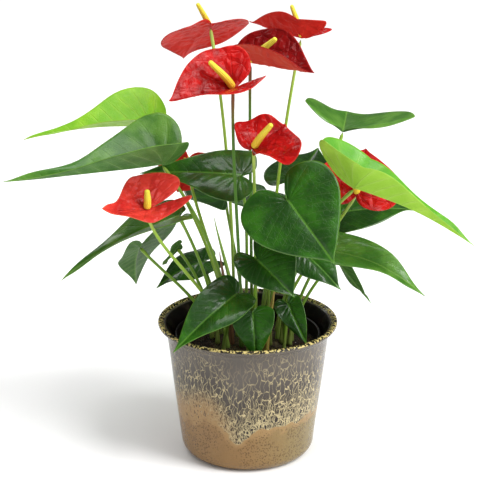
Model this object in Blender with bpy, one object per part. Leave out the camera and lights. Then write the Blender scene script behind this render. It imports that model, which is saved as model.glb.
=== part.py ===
"""A potted anthurium: a glazed cover pot, a nursery pot of soil, and the plant.

Metres, +Z up. The floor is z = 0, the pot's axis is x = y = 0, and the plant's front faces -Y.
Each leaf is grown as one piece with its petiole. A flower is a stalk, a spathe (the bract) and a spadix.
The plant's tables are in millimetres, measured from the middle of the soil's surface.
"""

import math
from dataclasses import dataclass, replace

import bmesh
import bpy
from mathutils import Vector

MM = 0.001

# Cover pot.
POT_HEIGHT = 139 * MM
POT_BODY_RADIUS = 83 * MM
POT_BASE_RADIUS = 66 * MM
POT_WALL = 5 * MM
POT_FLOOR = 7 * MM
POT_LIP_REACH = 7 * MM
POT_LIP_HEIGHT = 12 * MM
POT_FOOT_ROUND = 12 * MM

# The rolled lip's round edge runs from under its outside to its inside, in degrees from straight out.
LIP_UNDER_DEGREES = -40
LIP_INSIDE_DEGREES = 130

# Nursery pot, standing on the cover pot's floor.
NURSERY_RIM_BELOW_LIP = 14 * MM
NURSERY_GAP = 2.5 * MM
NURSERY_WALL = 1.6 * MM

# Soil and crown.
SOIL_BELOW_NURSERY_RIM = 13 * MM
SOIL_DEPTH_SHARE = 0.75
CROWN_RADIUS = 43 * MM
CROWN_HEIGHT = 5 * MM
CROWN_EDGE = 6 * MM
CROWN_CENTRE_X = 4 * MM

# Plant.
PLANT_SCALE = 1.0
LEAF_THICKNESS = 1.3 * MM
SPATHE_THICKNESS = 1.1 * MM
PETIOLE_RADIUS = 1.9 * MM
FLOWER_STALK_RADIUS = 1.9 * MM
SPADIX_RADIUS = 3.0 * MM
SHEATH_TIP_SHARE = 0.25
STALK_UPRIGHT_SHARE = 0.35
STALK_ARRIVAL_SHARE = 0.3
STALK_FOOT_SWELL = 1.2
PETIOLE_INTO_BLADE = 0.2
SPADIX_TIP_SHARE = 0.6

# How a stalk's last stretch turns: shares of the blade's own directions added to the stalk's.
PETIOLE_TURN_UP = 0.5
PETIOLE_TURN_ALONG = 0.2
FLOWER_TURN_UP = 0.6

# How far a stalk's end stays under its spathe, and a spadix's foot above it, in radii.
FLOWER_STALK_DROP = 0.6
SPADIX_RISE = 0.7
SPADIX_RISE_IN_FOLD = 1.3

# The spadix's curve: its Bezier handles against its length, and how far the lower one leans up.
SPADIX_HANDLE_SHARE = 0.3
SPADIX_LEAN_SHARE = 0.1

# x * x * (1 - x) peaks at 4 / 27, so this makes Blade.point the share drawn in at two thirds of the length.
POINT_PEAK = 27 / 4

# In the tables, the leaves that hang inside the pot reach this far from its axis.
INSIDE_REACH = 75.5 * MM
INSIDE_GAP = 1 * MM

CLEARANCE = 0.3 * MM
WELD = 0.03 * MM

POT_SEGMENTS = 36
NURSERY_SEGMENTS = 30
BLADE_RINGS = 3
LEAF_SAMPLES = 10
SPATHE_SAMPLES = 8
STALK_SIDES = 6
STALK_STEPS = 7
SPADIX_SIDES = 8
SPADIX_STEPS = 6

NURSERY_RIM = POT_HEIGHT - NURSERY_RIM_BELOW_LIP
SOIL_TOP = NURSERY_RIM - SOIL_BELOW_NURSERY_RIM
CROWN_TOP = SOIL_TOP + CLEARANCE + CROWN_HEIGHT
STALK_FOOT = CROWN_TOP + CLEARANCE

# Half outlines from the tip round to the sinus, as shares of the blade's length and width.
LEAF_OUTLINE = (
    (1.0, 0.0), (0.9, 0.05), (0.72, 0.19), (0.5, 0.34), (0.25, 0.46), (0.0, 0.5),
    (-0.2, 0.46), (-0.33, 0.33), (-0.34, 0.17), (-0.2, 0.06), (-0.05, 0.0),
)
SPATHE_OUTLINE = (
    (1.0, 0.0), (0.92, 0.06), (0.76, 0.23), (0.55, 0.4), (0.3, 0.5), (0.05, 0.5),
    (-0.18, 0.42), (-0.3, 0.27), (-0.28, 0.12), (-0.16, 0.04), (-0.05, 0.0),
)


@dataclass(frozen=True)
class Blade:
    """A heart-shaped blade, in millimetres from the middle of the soil's surface.

    Attributes:
        base: Where its stalk meets it.
        tip: Its point.
        face: Roughly the way its upper side looks.
        width: Across the widest place, laid flat.
        fold: Degrees that each half rises from the midrib.
        arch: How far the midrib rises between base and tip, as a share of the length. The lobes follow it.
        droop: How far the margins curl down, as a share of the width.
        lobe: Length of the lobes behind the base, against the outline's own.
        lift: Upward slope of the lobes behind the base, added to the arch's own.
        point: How much the sides draw in toward the tip, 0 for a full heart.
        lean: How much wider the left half is than the right, as a share.
    """

    base: tuple
    tip: tuple
    face: tuple
    width: float
    fold: float = 10.0
    arch: float = 0.0
    droop: float = 0.0
    lobe: float = 1.0
    lift: float = 0.0
    point: float = 0.0
    lean: float = 0.0


@dataclass(frozen=True)
class Leaf:
    """A blade on its own petiole.

    Attributes:
        name: The node's name after "leaf_".
        foot: Where the petiole leaves the crown, (x, y).
        blade: The blade.
        tone: Which leaf material it takes.
        bow: Sideways bend of the petiole, (x, y).
        inside: Whether it hangs inside the pot, whose wall then limits its reach.
    """

    name: str
    foot: tuple
    blade: Blade
    tone: str = "dark"
    bow: tuple = (0.0, 0.0)
    inside: bool = False


@dataclass(frozen=True)
class Flower:
    """A stalk, its spathe and the spadix that rises from the spathe.

    Attributes:
        foot: Where the stalk leaves the crown, (x, y).
        blade: The spathe.
        spadix: The spadix's tip.
        thickness: Spadix radius against the usual one.
        tone: Which spathe material it takes.
        bow: Sideways bend of the stalk, (x, y).
    """

    foot: tuple
    blade: Blade
    spadix: tuple
    thickness: float = 1.0
    tone: str = "red"
    bow: tuple = (0.0, 0.0)


@dataclass(frozen=True)
class Sheath:
    """A narrow pointed sheath or a leaf still rolled, on the crown.

    Attributes:
        name: The node's name after "sheath_".
        foot: Where it leaves the crown, (x, y).
        tip: Its point.
        radius: At its foot, in millimetres.
    """

    name: str
    foot: tuple
    tip: tuple
    radius: float


LEAVES = (
    Leaf(
        "back_left_bright",
        (-22, 30),
        Blade((-101, 80, 205), (-226, 58, 196), (0, -0.23, 1), 94, 35, 0.05, lobe=0.45, point=0.6),
        "light",
        bow=(0, 10),
    ),
    Leaf(
        "left_large",
        (-18, 2),
        Blade((-83, -10, 189), (-232, -40, 180), (0, -0.1, 1), 110, 42, lobe=0.45, lift=0.2, point=0.6),
        bow=(18, 0),
    ),
    Leaf(
        "centre_back",
        (-2, 20),
        Blade((-8, 11, 173), (-108, 30, 169), (0, -0.57, 0.82), 66, 2, 0.04, lobe=0.4, point=0.25),
    ),
    Leaf(
        "front_heart",
        (22, -14),
        Blade((38, -70, 170), (80, -95, 117), (-0.1, -0.85, 0.5), 98, 4, 0.05, 0.04),
        bow=(0, 14),
    ),
    Leaf(
        "left_lower",
        (-30, -8),
        Blade((-68, 0, 134), (-182, -30, 77), (-0.2, -0.12, 1), 64, 14, 0.06, lobe=0.25, point=0.3),
    ),
    Leaf(
        "left_under",
        (-36, 8),
        Blade((-108, 12, 98), (-118, 82, 33), (-0.6, 0.5, 0.62), 76, 6, 0.05, lean=-0.4),
    ),
    Leaf(
        "front_left_low",
        (-24, -30),
        Blade((-12, -50, 70), (-71, -93, 27), (0.1, -0.5, 0.85), 50, 12, 0.06, lobe=0.4),
    ),
    Leaf(
        "front_middle_low",
        (0, -38),
        Blade((5, -54, 52), (8, -66, 8), (0, -0.9, 0.35), 42, 6, 0.05, lobe=0.4),
        inside=True,
    ),
    Leaf(
        "front_right_low",
        (36, -24),
        Blade((40, -31, 53), (58, -48, 17), (-0.2, -0.7, 0.7), 28, 12, 0.05, lobe=0.6),
        inside=True,
    ),
    Leaf(
        "centre_low",
        (6, -30),
        Blade((10, -63, 109), (44, -81, 79), (-0.3, -0.6, 0.7), 62, 6, 0.05, lobe=1.2, lean=0.3),
    ),
    Leaf(
        "right_bright",
        (34, -6),
        Blade((101, -40, 174), (212, -70, 127), (0.3, 0.17, 0.9), 74, 47, 0.05, 0, 1.1, 0.5, 0.4, 0.1),
        "light",
        bow=(-20, 8),
    ),
    Leaf(
        "top_right",
        (38, 14),
        Blade((94, 40, 210), (102, 104, 215), (0.22, 0, 1), 122, 27, lobe=0.3, lean=-0.2),
    ),
    Leaf("right_far", (30, 26), Blade((82, 60, 117), (173, 80, 116), (0, -0.4, 0.9), 74, 6, 0.06)),
    Leaf(
        "right_low",
        (42, -10),
        Blade((75, -15, 104), (173, -35, 63), (-0.1, -0.35, 0.9), 48, 12, 0.12, lobe=0.3, lean=0.1),
    ),
    Leaf(
        "right_narrow",
        (44, 2),
        Blade((89, 30, 80), (125, 20, 36), (0.6, 0.5, 0.6), 30, 14, lobe=0.6),
    ),
    Leaf(
        "centre_right_back",
        (14, 24),
        Blade((50, 70, 154), (74, 125, 171), (-0.2, -0.5, 0.8), 70, 4),
    ),
    Leaf(
        "centre_right_low",
        (38, -8),
        Blade((52, -45, 114), (89, -63, 80), (-0.1, -0.6, 0.8), 44, 6, 0.05, lobe=0.4),
    ),
    Leaf(
        "back_left_low",
        (-28, 20),
        Blade((-48, 65, 64), (-95, 50, 40), (-0.1, -0.4, 0.9), 44, 4, 0.1),
    ),
    Leaf("left_small", (-36, 16), Blade((-72, 32, 90), (-86, 20, 76), (-0.3, 0.6, 0.7), 26, 4)),
    Leaf(
        "rear_right",
        (14, 38),
        Blade((34, 108, 112), (52, 190, 95), (0.1, 0.3, 0.9), 76, 10, 0.08, lobe=0.6),
    ),
    Leaf(
        "rear_left",
        (-4, 42),
        Blade((-24, 95, 125), (-54, 180, 110), (-0.1, 0.3, 0.9), 86, 12, 0.08),
    ),
)

FLOWERS = (
    Flower(
        (-14, 38),
        Blade((-38, 64, 310), (-67, 114, 268), (-0.38, 0.6, 0.75), 90, 4, 0.04, 0.06, 0.75),
        (-50, 56, 334),
        0.8,
        bow=(0, 8),
    ),
    Flower(
        (-6, -20),
        Blade((-14, -30, 268), (-73, -60, 263), (0, -0.45, 0.9), 86, 36, lobe=1.1, lift=0.4, point=0.1),
        (-36, -41, 296),
        bow=(0, -6),
    ),
    Flower(
        (4, 37),
        Blade((2, 38, 279), (63, -2, 277), (0, 0.05, 1), 68, 50, lobe=1.1, lean=0.2),
        (27, 28, 305),
        bow=(0, 14),
    ),
    Flower(
        (20, 10),
        Blade((52, 55, 300), (1, 88, 311), (0.1, 0.35, 0.95), 46, 40, lobe=1.3, lift=0.5, lean=0.15),
        (42, 60, 332),
        0.8,
    ),
    Flower(
        (8, -14),
        Blade((5, -34, 212), (36, -12, 230), (-0.1, -0.6, 0.75), 84, 28, lobe=0.6, lean=-0.35),
        (22, -46, 238),
    ),
    Flower(
        (-20, 12),
        Blade((-61, 48, 176), (-72, 66, 139), (0.1, 0.85, 0.5), 58, 6, lobe=1.3),
        (-69, 48, 194),
        0.9,
    ),
    Flower(
        (-20, -20),
        Blade(
            (-96, -45, 155),
            (-135, -80, 166),
            (0.25, -0.5, 0.83),
            54,
            14,
            -0.06,
            lobe=2.0,
            lift=0.45,
            point=0.6,
            lean=-0.3,
        ),
        (-95, -50, 175),
        1.0,
        "coral",
    ),
    Flower((30, 3), Blade((107, 12, 154), (117, 38, 193), (0.1, -0.75, 0.6), 84, 8), (103, 4, 184)),
)


SHEATHS = (
    Sheath("brown", (-16, -12), (-28, -16, 104), 2.6),
    Sheath("tan", (18, -30), (26, -36, 72), 3.0),
    Sheath("new_leaf", (-10, 10), (-34, 20, 128), 2.4),
)


def clear_scene():
    for obj in list(bpy.data.objects):
        bpy.data.objects.remove(obj)


def material(name, colour, roughness, coat=0.0):
    made = bpy.data.materials.new(name)
    made.use_nodes = True
    shader = made.node_tree.nodes["Principled BSDF"]
    shader.inputs["Base Color"].default_value = (*colour, 1.0)
    shader.inputs["Roughness"].default_value = roughness
    shader.inputs["Coat Weight"].default_value = coat
    return made


def object_of(name, build, finish=None):
    """A new object, its mesh filled in by build(bm), its faces turned outward and shaded smooth."""
    mesh = bpy.data.meshes.new(name)
    bm = bmesh.new()
    build(bm)
    bmesh.ops.recalc_face_normals(bm, faces=bm.faces)
    bm.to_mesh(mesh)
    bm.free()
    mesh.shade_smooth()
    if finish is not None:
        mesh.materials.append(finish)
    obj = bpy.data.objects.new(name, mesh)
    bpy.context.collection.objects.link(obj)
    return obj


def hide_helper(obj):
    obj.hide_render = True
    obj.display_type = "WIRE"


def revolve(name, profile, segments, finish, centre=(0.0, 0.0)):
    """A solid of revolution from (radius, z) points; the first and last lie on the axis."""

    def build(bm):
        points = [bm.verts.new((radius, 0.0, z)) for radius, z in profile]
        edges = [bm.edges.new(pair) for pair in zip(points, points[1:])]
        bmesh.ops.spin(
            bm,
            geom=points + edges,
            cent=(0, 0, 0),
            axis=(0, 0, 1),
            angle=math.tau,
            steps=segments,
            use_merge=True,
        )
        bmesh.ops.remove_doubles(bm, verts=bm.verts, dist=WELD)
        bmesh.ops.translate(bm, verts=bm.verts, vec=(*centre, 0.0))

    return object_of(name, build, finish)


def arc(centre, radius, start, end, steps):
    """Points of an arc in the (radius, z) plane, angles in degrees from +radius."""
    angles = [math.radians(start + (end - start) * i / steps) for i in range(steps + 1)]
    return [(centre[0] + radius * math.cos(a), centre[1] + radius * math.sin(a)) for a in angles]


def pot_radius(z):
    """The cover pot's outer radius at a height, below the lip."""
    return POT_BASE_RADIUS + (POT_BODY_RADIUS - POT_BASE_RADIUS) * z / POT_HEIGHT


def make_cover_pot(finish):
    foot_x = pot_radius(POT_FOOT_ROUND) - POT_FOOT_ROUND
    half_lip = POT_WALL / 2
    lip_x = POT_BODY_RADIUS + POT_LIP_REACH - half_lip
    lip_z = POT_HEIGHT - half_lip
    neck_z = POT_HEIGHT - POT_LIP_HEIGHT
    neck_in = pot_radius(neck_z) - POT_WALL
    floor_in = pot_radius(POT_FLOOR) - POT_WALL
    floor_round = POT_FOOT_ROUND / 2
    side_slope = math.degrees(math.atan((POT_BODY_RADIUS - POT_BASE_RADIUS) / POT_HEIGHT))
    foot = arc((foot_x, POT_FOOT_ROUND), POT_FOOT_ROUND, -90, -side_slope, 4)
    outside = [(0, 0), *foot, (pot_radius(neck_z), neck_z)]
    lip = arc((lip_x, lip_z), half_lip, LIP_UNDER_DEGREES, LIP_INSIDE_DEGREES, 5)
    inside = [
        (neck_in, neck_z - POT_LIP_HEIGHT / 4),
        *arc((floor_in - floor_round, POT_FLOOR + floor_round), floor_round, 0, -90, 2),
        (0, POT_FLOOR),
    ]
    return revolve("ceramic_pot", outside + lip + inside, POT_SEGMENTS, finish)


def nursery_radius(z):
    """The nursery pot's outer radius at a height. Its foot clears the cover pot's rounded inner corner."""
    rim = pot_radius(NURSERY_RIM) - POT_WALL - NURSERY_GAP
    foot = pot_radius(POT_FLOOR) - POT_WALL - POT_FOOT_ROUND / 2 - CLEARANCE
    foot_z = POT_FLOOR + CLEARANCE
    return foot + (rim - foot) * (z - foot_z) / (NURSERY_RIM - foot_z)


def make_nursery_pot(finish):
    foot_z = POT_FLOOR + CLEARANCE
    floor_z = foot_z + NURSERY_WALL
    return revolve(
        "nursery_pot",
        [
            (0, foot_z),
            (nursery_radius(foot_z), foot_z),
            (nursery_radius(NURSERY_RIM), NURSERY_RIM),
            (nursery_radius(NURSERY_RIM) - NURSERY_WALL, NURSERY_RIM),
            (nursery_radius(floor_z) - NURSERY_WALL, floor_z),
            (0, floor_z),
        ],
        NURSERY_SEGMENTS,
        finish,
    )


def make_soil(finish):
    bottom = SOIL_TOP - SOIL_DEPTH_SHARE * (SOIL_TOP - POT_FLOOR)
    inset = NURSERY_WALL + 2 * CLEARANCE
    return revolve(
        "potting_soil",
        [
            (0, bottom),
            (nursery_radius(bottom) - inset, bottom),
            (nursery_radius(SOIL_TOP) - inset, SOIL_TOP),
            (0, SOIL_TOP),
        ],
        NURSERY_SEGMENTS,
        finish,
    )


def make_crown(finish):
    foot = SOIL_TOP + CLEARANCE
    radius = PLANT_SCALE * CROWN_RADIUS
    profile = [(0, foot), (radius, foot), (radius - CROWN_EDGE / 2, CROWN_TOP), (0, CROWN_TOP)]
    return revolve("crown", profile, NURSERY_SEGMENTS, finish, (CROWN_CENTRE_X, 0.0))


def place(point):
    """A point of the plant's tables, in metres in the world."""
    return Vector(point) * PLANT_SCALE * MM + Vector((0, 0, SOIL_TOP))


def catmull_rom(points, share):
    """The point at a share (0 to 1) along a smooth curve through the points."""
    place_on = share * (len(points) - 1)
    i = min(int(place_on), len(points) - 2)
    t = place_on - i
    a, b, c, d = (points[min(max(k, 0), len(points) - 1)] for k in (i - 1, i, i + 1, i + 2))
    return tuple(
        q + 0.5 * t * (r - p + t * (2 * p - 5 * q + 4 * r - s + t * (3 * q - p - 3 * r + s)))
        for p, q, r, s in zip(a, b, c, d)
    )


def blade_axes(blade):
    """(base, along, across, up, length) of a blade in the world."""
    base = place(blade.base)
    reach = place(blade.tip) - base
    along = reach.normalized()
    up = Vector(blade.face)
    up = (up - along * up.dot(along)).normalized()
    return base, along, up.cross(along), up, reach.length


def blade_point(blade, u, ring, outline):
    """Where a point of the blade lies: u runs from sinus to sinus, ring from the base to the margin."""
    base, along, across, up, length = blade_axes(blade)
    width = blade.width * PLANT_SCALE * MM
    side = 1.0 if u >= 0.5 else -1.0
    x, y = catmull_rom(outline, abs(2 * u - 1))
    drawn_in = 1.0 - blade.point * POINT_PEAK * max(x, 0.0) ** 2 * (1.0 - max(x, 0.0))
    x *= ring * (blade.lobe if x < 0 else 1.0)
    y *= ring * width * drawn_in * (1.0 + blade.lean * side)
    tilt = math.radians(blade.fold)
    rise = y * math.sin(tilt) - blade.droop * width * (2 * y / width) ** 2
    rise += (4 * blade.arch * x * (1 - max(x, 0.0)) - blade.lift * min(x, 0.0)) * length
    return base + along * x * length + across * side * y * math.cos(tilt) + up * rise


def kept_inside(blade):
    """The blade moved in or out from the pot's axis, to keep its place beside the pot's wall."""
    room = pot_radius(POT_HEIGHT - POT_LIP_HEIGHT) - POT_WALL - INSIDE_GAP
    share = room / (INSIDE_REACH * PLANT_SCALE)
    base = (blade.base[0] * share, blade.base[1] * share, blade.base[2])
    tip = (blade.tip[0] * share, blade.tip[1] * share, blade.tip[2])
    return replace(blade, base=base, tip=tip)


def build_blade(blade, outline, samples):
    """A function that fills a bmesh with the blade's middle surface: a grid wrapped round the base."""

    def build(bm):
        grid = bmesh.ops.create_grid(bm, x_segments=2 * samples, y_segments=BLADE_RINGS, size=0.5)
        for vert in grid["verts"]:
            vert.co = blade_point(blade, vert.co.x + 0.5, vert.co.y + 0.5, outline)
        bmesh.ops.remove_doubles(bm, verts=bm.verts, dist=CLEARANCE)

    return build


def thicken(obj, thickness):
    solid = obj.modifiers.new("thickness", "SOLIDIFY")
    solid.thickness = thickness
    solid.offset = 0.0


def make_tube(name, path, radii, sides, steps):
    """A closed tapered tube as a mesh: a Bezier curve with a round bevel and filled caps."""
    curve = bpy.data.curves.new(name, "CURVE")
    curve.dimensions = "3D"
    curve.resolution_u = steps
    curve.bevel_depth = 1.0
    curve.bevel_resolution = (sides - 4) // 2
    curve.use_fill_caps = True
    spline = curve.splines.new("BEZIER")
    spline.bezier_points.add(1)
    start, leave, arrive, end = path
    ends = ((start, start * 2 - leave, leave), (end, arrive, end * 2 - arrive))
    for point, (here, before, after), radius in zip(spline.bezier_points, ends, radii):
        point.co = here
        point.handle_left = before
        point.handle_right = after
        point.radius = radius
    guide = bpy.data.objects.new(name + "_guide", curve)
    bpy.context.collection.objects.link(guide)
    bpy.context.view_layer.update()
    graph = bpy.context.evaluated_depsgraph_get()
    mesh = bpy.data.meshes.new_from_object(guide.evaluated_get(graph))
    bpy.data.objects.remove(guide)

    def build(bm):
        bm.from_mesh(mesh)
        bmesh.ops.remove_doubles(bm, verts=bm.verts, dist=WELD)

    obj = object_of(name, build)
    bpy.data.meshes.remove(mesh)
    return obj


def stalk_path(foot, bow, end, arrival):
    """Bezier points of a stalk that leaves the crown upright and reaches its end along a direction."""
    start = Vector((foot[0] * MM * PLANT_SCALE, foot[1] * MM * PLANT_SCALE, STALK_FOOT))
    reach = end - start
    leave = start + Vector((0.0, 0.0, reach.z * STALK_UPRIGHT_SHARE))
    arrive = end - arrival.normalized() * reach.length * STALK_ARRIVAL_SHARE
    return start, leave, arrive + Vector((*bow, 0.0)) * MM * PLANT_SCALE, end


def make_leaf(leaf, finishes):
    blade = kept_inside(leaf.blade) if leaf.inside else leaf.blade
    surface = build_blade(blade, LEAF_OUTLINE, LEAF_SAMPLES)
    obj = object_of("leaf_" + leaf.name, surface, finishes[leaf.tone])
    thicken(obj, LEAF_THICKNESS)
    base, along, _, up, _ = blade_axes(blade)
    heading = (base - place((*leaf.foot, 0))).normalized()
    heading += up * PETIOLE_TURN_UP + along * PETIOLE_TURN_ALONG
    path = stalk_path(leaf.foot, leaf.bow, base + up * LEAF_THICKNESS * PETIOLE_INTO_BLADE, heading)
    radii = (PETIOLE_RADIUS * STALK_FOOT_SWELL, PETIOLE_RADIUS)
    petiole = make_tube(obj.name + "_petiole", path, radii, STALK_SIDES, STALK_STEPS)
    hide_helper(petiole)
    join = obj.modifiers.new("petiole", "BOOLEAN")
    join.operation = "UNION"
    join.solver = "EXACT"
    join.object = petiole
    return obj


def make_flower(number, flower, finishes):
    surface = build_blade(flower.blade, SPATHE_OUTLINE, SPATHE_SAMPLES)
    spathe = object_of(f"spathe_{number}", surface, finishes[flower.tone])
    thicken(spathe, SPATHE_THICKNESS)
    base, _, _, up, _ = blade_axes(flower.blade)
    gap = SPATHE_THICKNESS / 2 + 2 * CLEARANCE
    arrival = (base - place((*flower.foot, 0))).normalized() + up * FLOWER_TURN_UP
    under = base - up * (gap + FLOWER_STALK_RADIUS * FLOWER_STALK_DROP)
    path = stalk_path(flower.foot, flower.bow, under, arrival)
    radii = (FLOWER_STALK_RADIUS * STALK_FOOT_SWELL, FLOWER_STALK_RADIUS)
    stalk = make_tube(f"flower_stalk_{number}", path, radii, STALK_SIDES, STALK_STEPS)
    stalk.data.materials.append(finishes["stalk"])
    tip = place(flower.spadix)
    radius = SPADIX_RADIUS * flower.thickness
    fold = math.tan(math.radians(flower.blade.fold))
    start = base + up * (gap + radius * (SPADIX_RISE + SPADIX_RISE_IN_FOLD * fold))
    lean = tip - start
    handle = lean * SPADIX_HANDLE_SHARE
    spadix = make_tube(
        f"spadix_{number}",
        (start, start + handle + up * lean.length * SPADIX_LEAN_SHARE, tip - handle, tip),
        (radius, radius * SPADIX_TIP_SHARE),
        SPADIX_SIDES,
        SPADIX_STEPS,
    )
    spadix.data.materials.append(finishes["spadix"])


def make_sheath(sheath, finish):
    tip = place(sheath.tip)
    reach = tip - place((*sheath.foot, 0))
    path = stalk_path(sheath.foot, (0, 0), tip, reach)
    radius = sheath.radius * MM * PLANT_SCALE
    radii = (radius, radius * SHEATH_TIP_SHARE)
    obj = make_tube("sheath_" + sheath.name, path, radii, STALK_SIDES, STALK_STEPS)
    obj.data.materials.append(finish)


def main():
    clear_scene()
    make_cover_pot(material("crackle_glaze", (0.20, 0.16, 0.12), 0.2, 0.6))
    make_nursery_pot(material("black_plastic", (0.03, 0.03, 0.03), 0.5))
    make_soil(material("peat_soil", (0.05, 0.035, 0.022), 0.95))
    make_crown(material("crown_bark", (0.12, 0.09, 0.04), 0.8))
    finishes = {
        "dark": material("leaf_dark_green", (0.03, 0.14, 0.02), 0.35),
        "light": material("leaf_light_green", (0.2, 0.42, 0.03), 0.4),
        "stalk": material("stalk_green", (0.2, 0.38, 0.05), 0.4),
        "red": material("spathe_red", (0.5, 0.02, 0.02), 0.2, 0.5),
        "coral": material("spathe_coral", (0.75, 0.08, 0.07), 0.25, 0.4),
        "spadix": material("spadix_yellow", (0.85, 0.62, 0.05), 0.5),
        "sheath": material("sheath_brown", (0.3, 0.16, 0.08), 0.7),
    }
    for leaf in LEAVES:
        make_leaf(leaf, finishes)
    for number, flower in enumerate(FLOWERS, 1):
        make_flower(number, flower, finishes)
    for sheath in SHEATHS:
        make_sheath(sheath, finishes["sheath"])


if __name__ == "__main__":
    main()
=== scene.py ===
"""Looks of a potted anthurium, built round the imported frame: glazed cover pot, soil, leaves and flowers.

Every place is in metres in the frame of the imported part. The plant's own tables are in millimetres from
the middle of the soil's surface, whose height comes from the packed soil.
"""

import logging
import math
import random
from collections.abc import Callable, Mapping, Sequence
from dataclasses import dataclass
from enum import Enum

import bmesh
import bpy
from mathutils import Euler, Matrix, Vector, noise


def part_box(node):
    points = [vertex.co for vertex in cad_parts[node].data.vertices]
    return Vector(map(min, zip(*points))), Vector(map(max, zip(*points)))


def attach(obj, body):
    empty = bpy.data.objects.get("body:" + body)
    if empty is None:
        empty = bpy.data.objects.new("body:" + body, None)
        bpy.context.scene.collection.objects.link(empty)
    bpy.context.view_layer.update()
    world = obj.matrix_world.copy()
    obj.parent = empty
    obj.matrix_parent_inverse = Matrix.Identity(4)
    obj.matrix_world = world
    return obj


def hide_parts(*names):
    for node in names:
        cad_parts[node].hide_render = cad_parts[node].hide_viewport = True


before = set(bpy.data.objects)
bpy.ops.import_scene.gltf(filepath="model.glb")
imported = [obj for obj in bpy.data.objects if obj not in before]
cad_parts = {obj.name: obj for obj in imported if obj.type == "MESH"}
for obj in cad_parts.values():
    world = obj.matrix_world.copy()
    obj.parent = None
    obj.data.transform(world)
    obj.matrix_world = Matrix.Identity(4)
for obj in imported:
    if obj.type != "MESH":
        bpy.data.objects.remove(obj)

Colour = tuple[float, float, float]
Point = tuple[float, float, float]
Flat = tuple[float, float]
Socket = bpy.types.NodeSocket
Value = Socket | float | int | tuple[float, ...]
Material = bpy.types.Material
Faces = tuple[Material, Material]

MM = 0.001
WELD = 1e-6
FLAT_SCALE = 10.0  # a blade's flat layout counts in tenths of a metre
RUFFLE_SEED = 7  # without a seed, mathutils offsets its noise vectors by the clock
LOG = logging.getLogger("anthurium")


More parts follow.
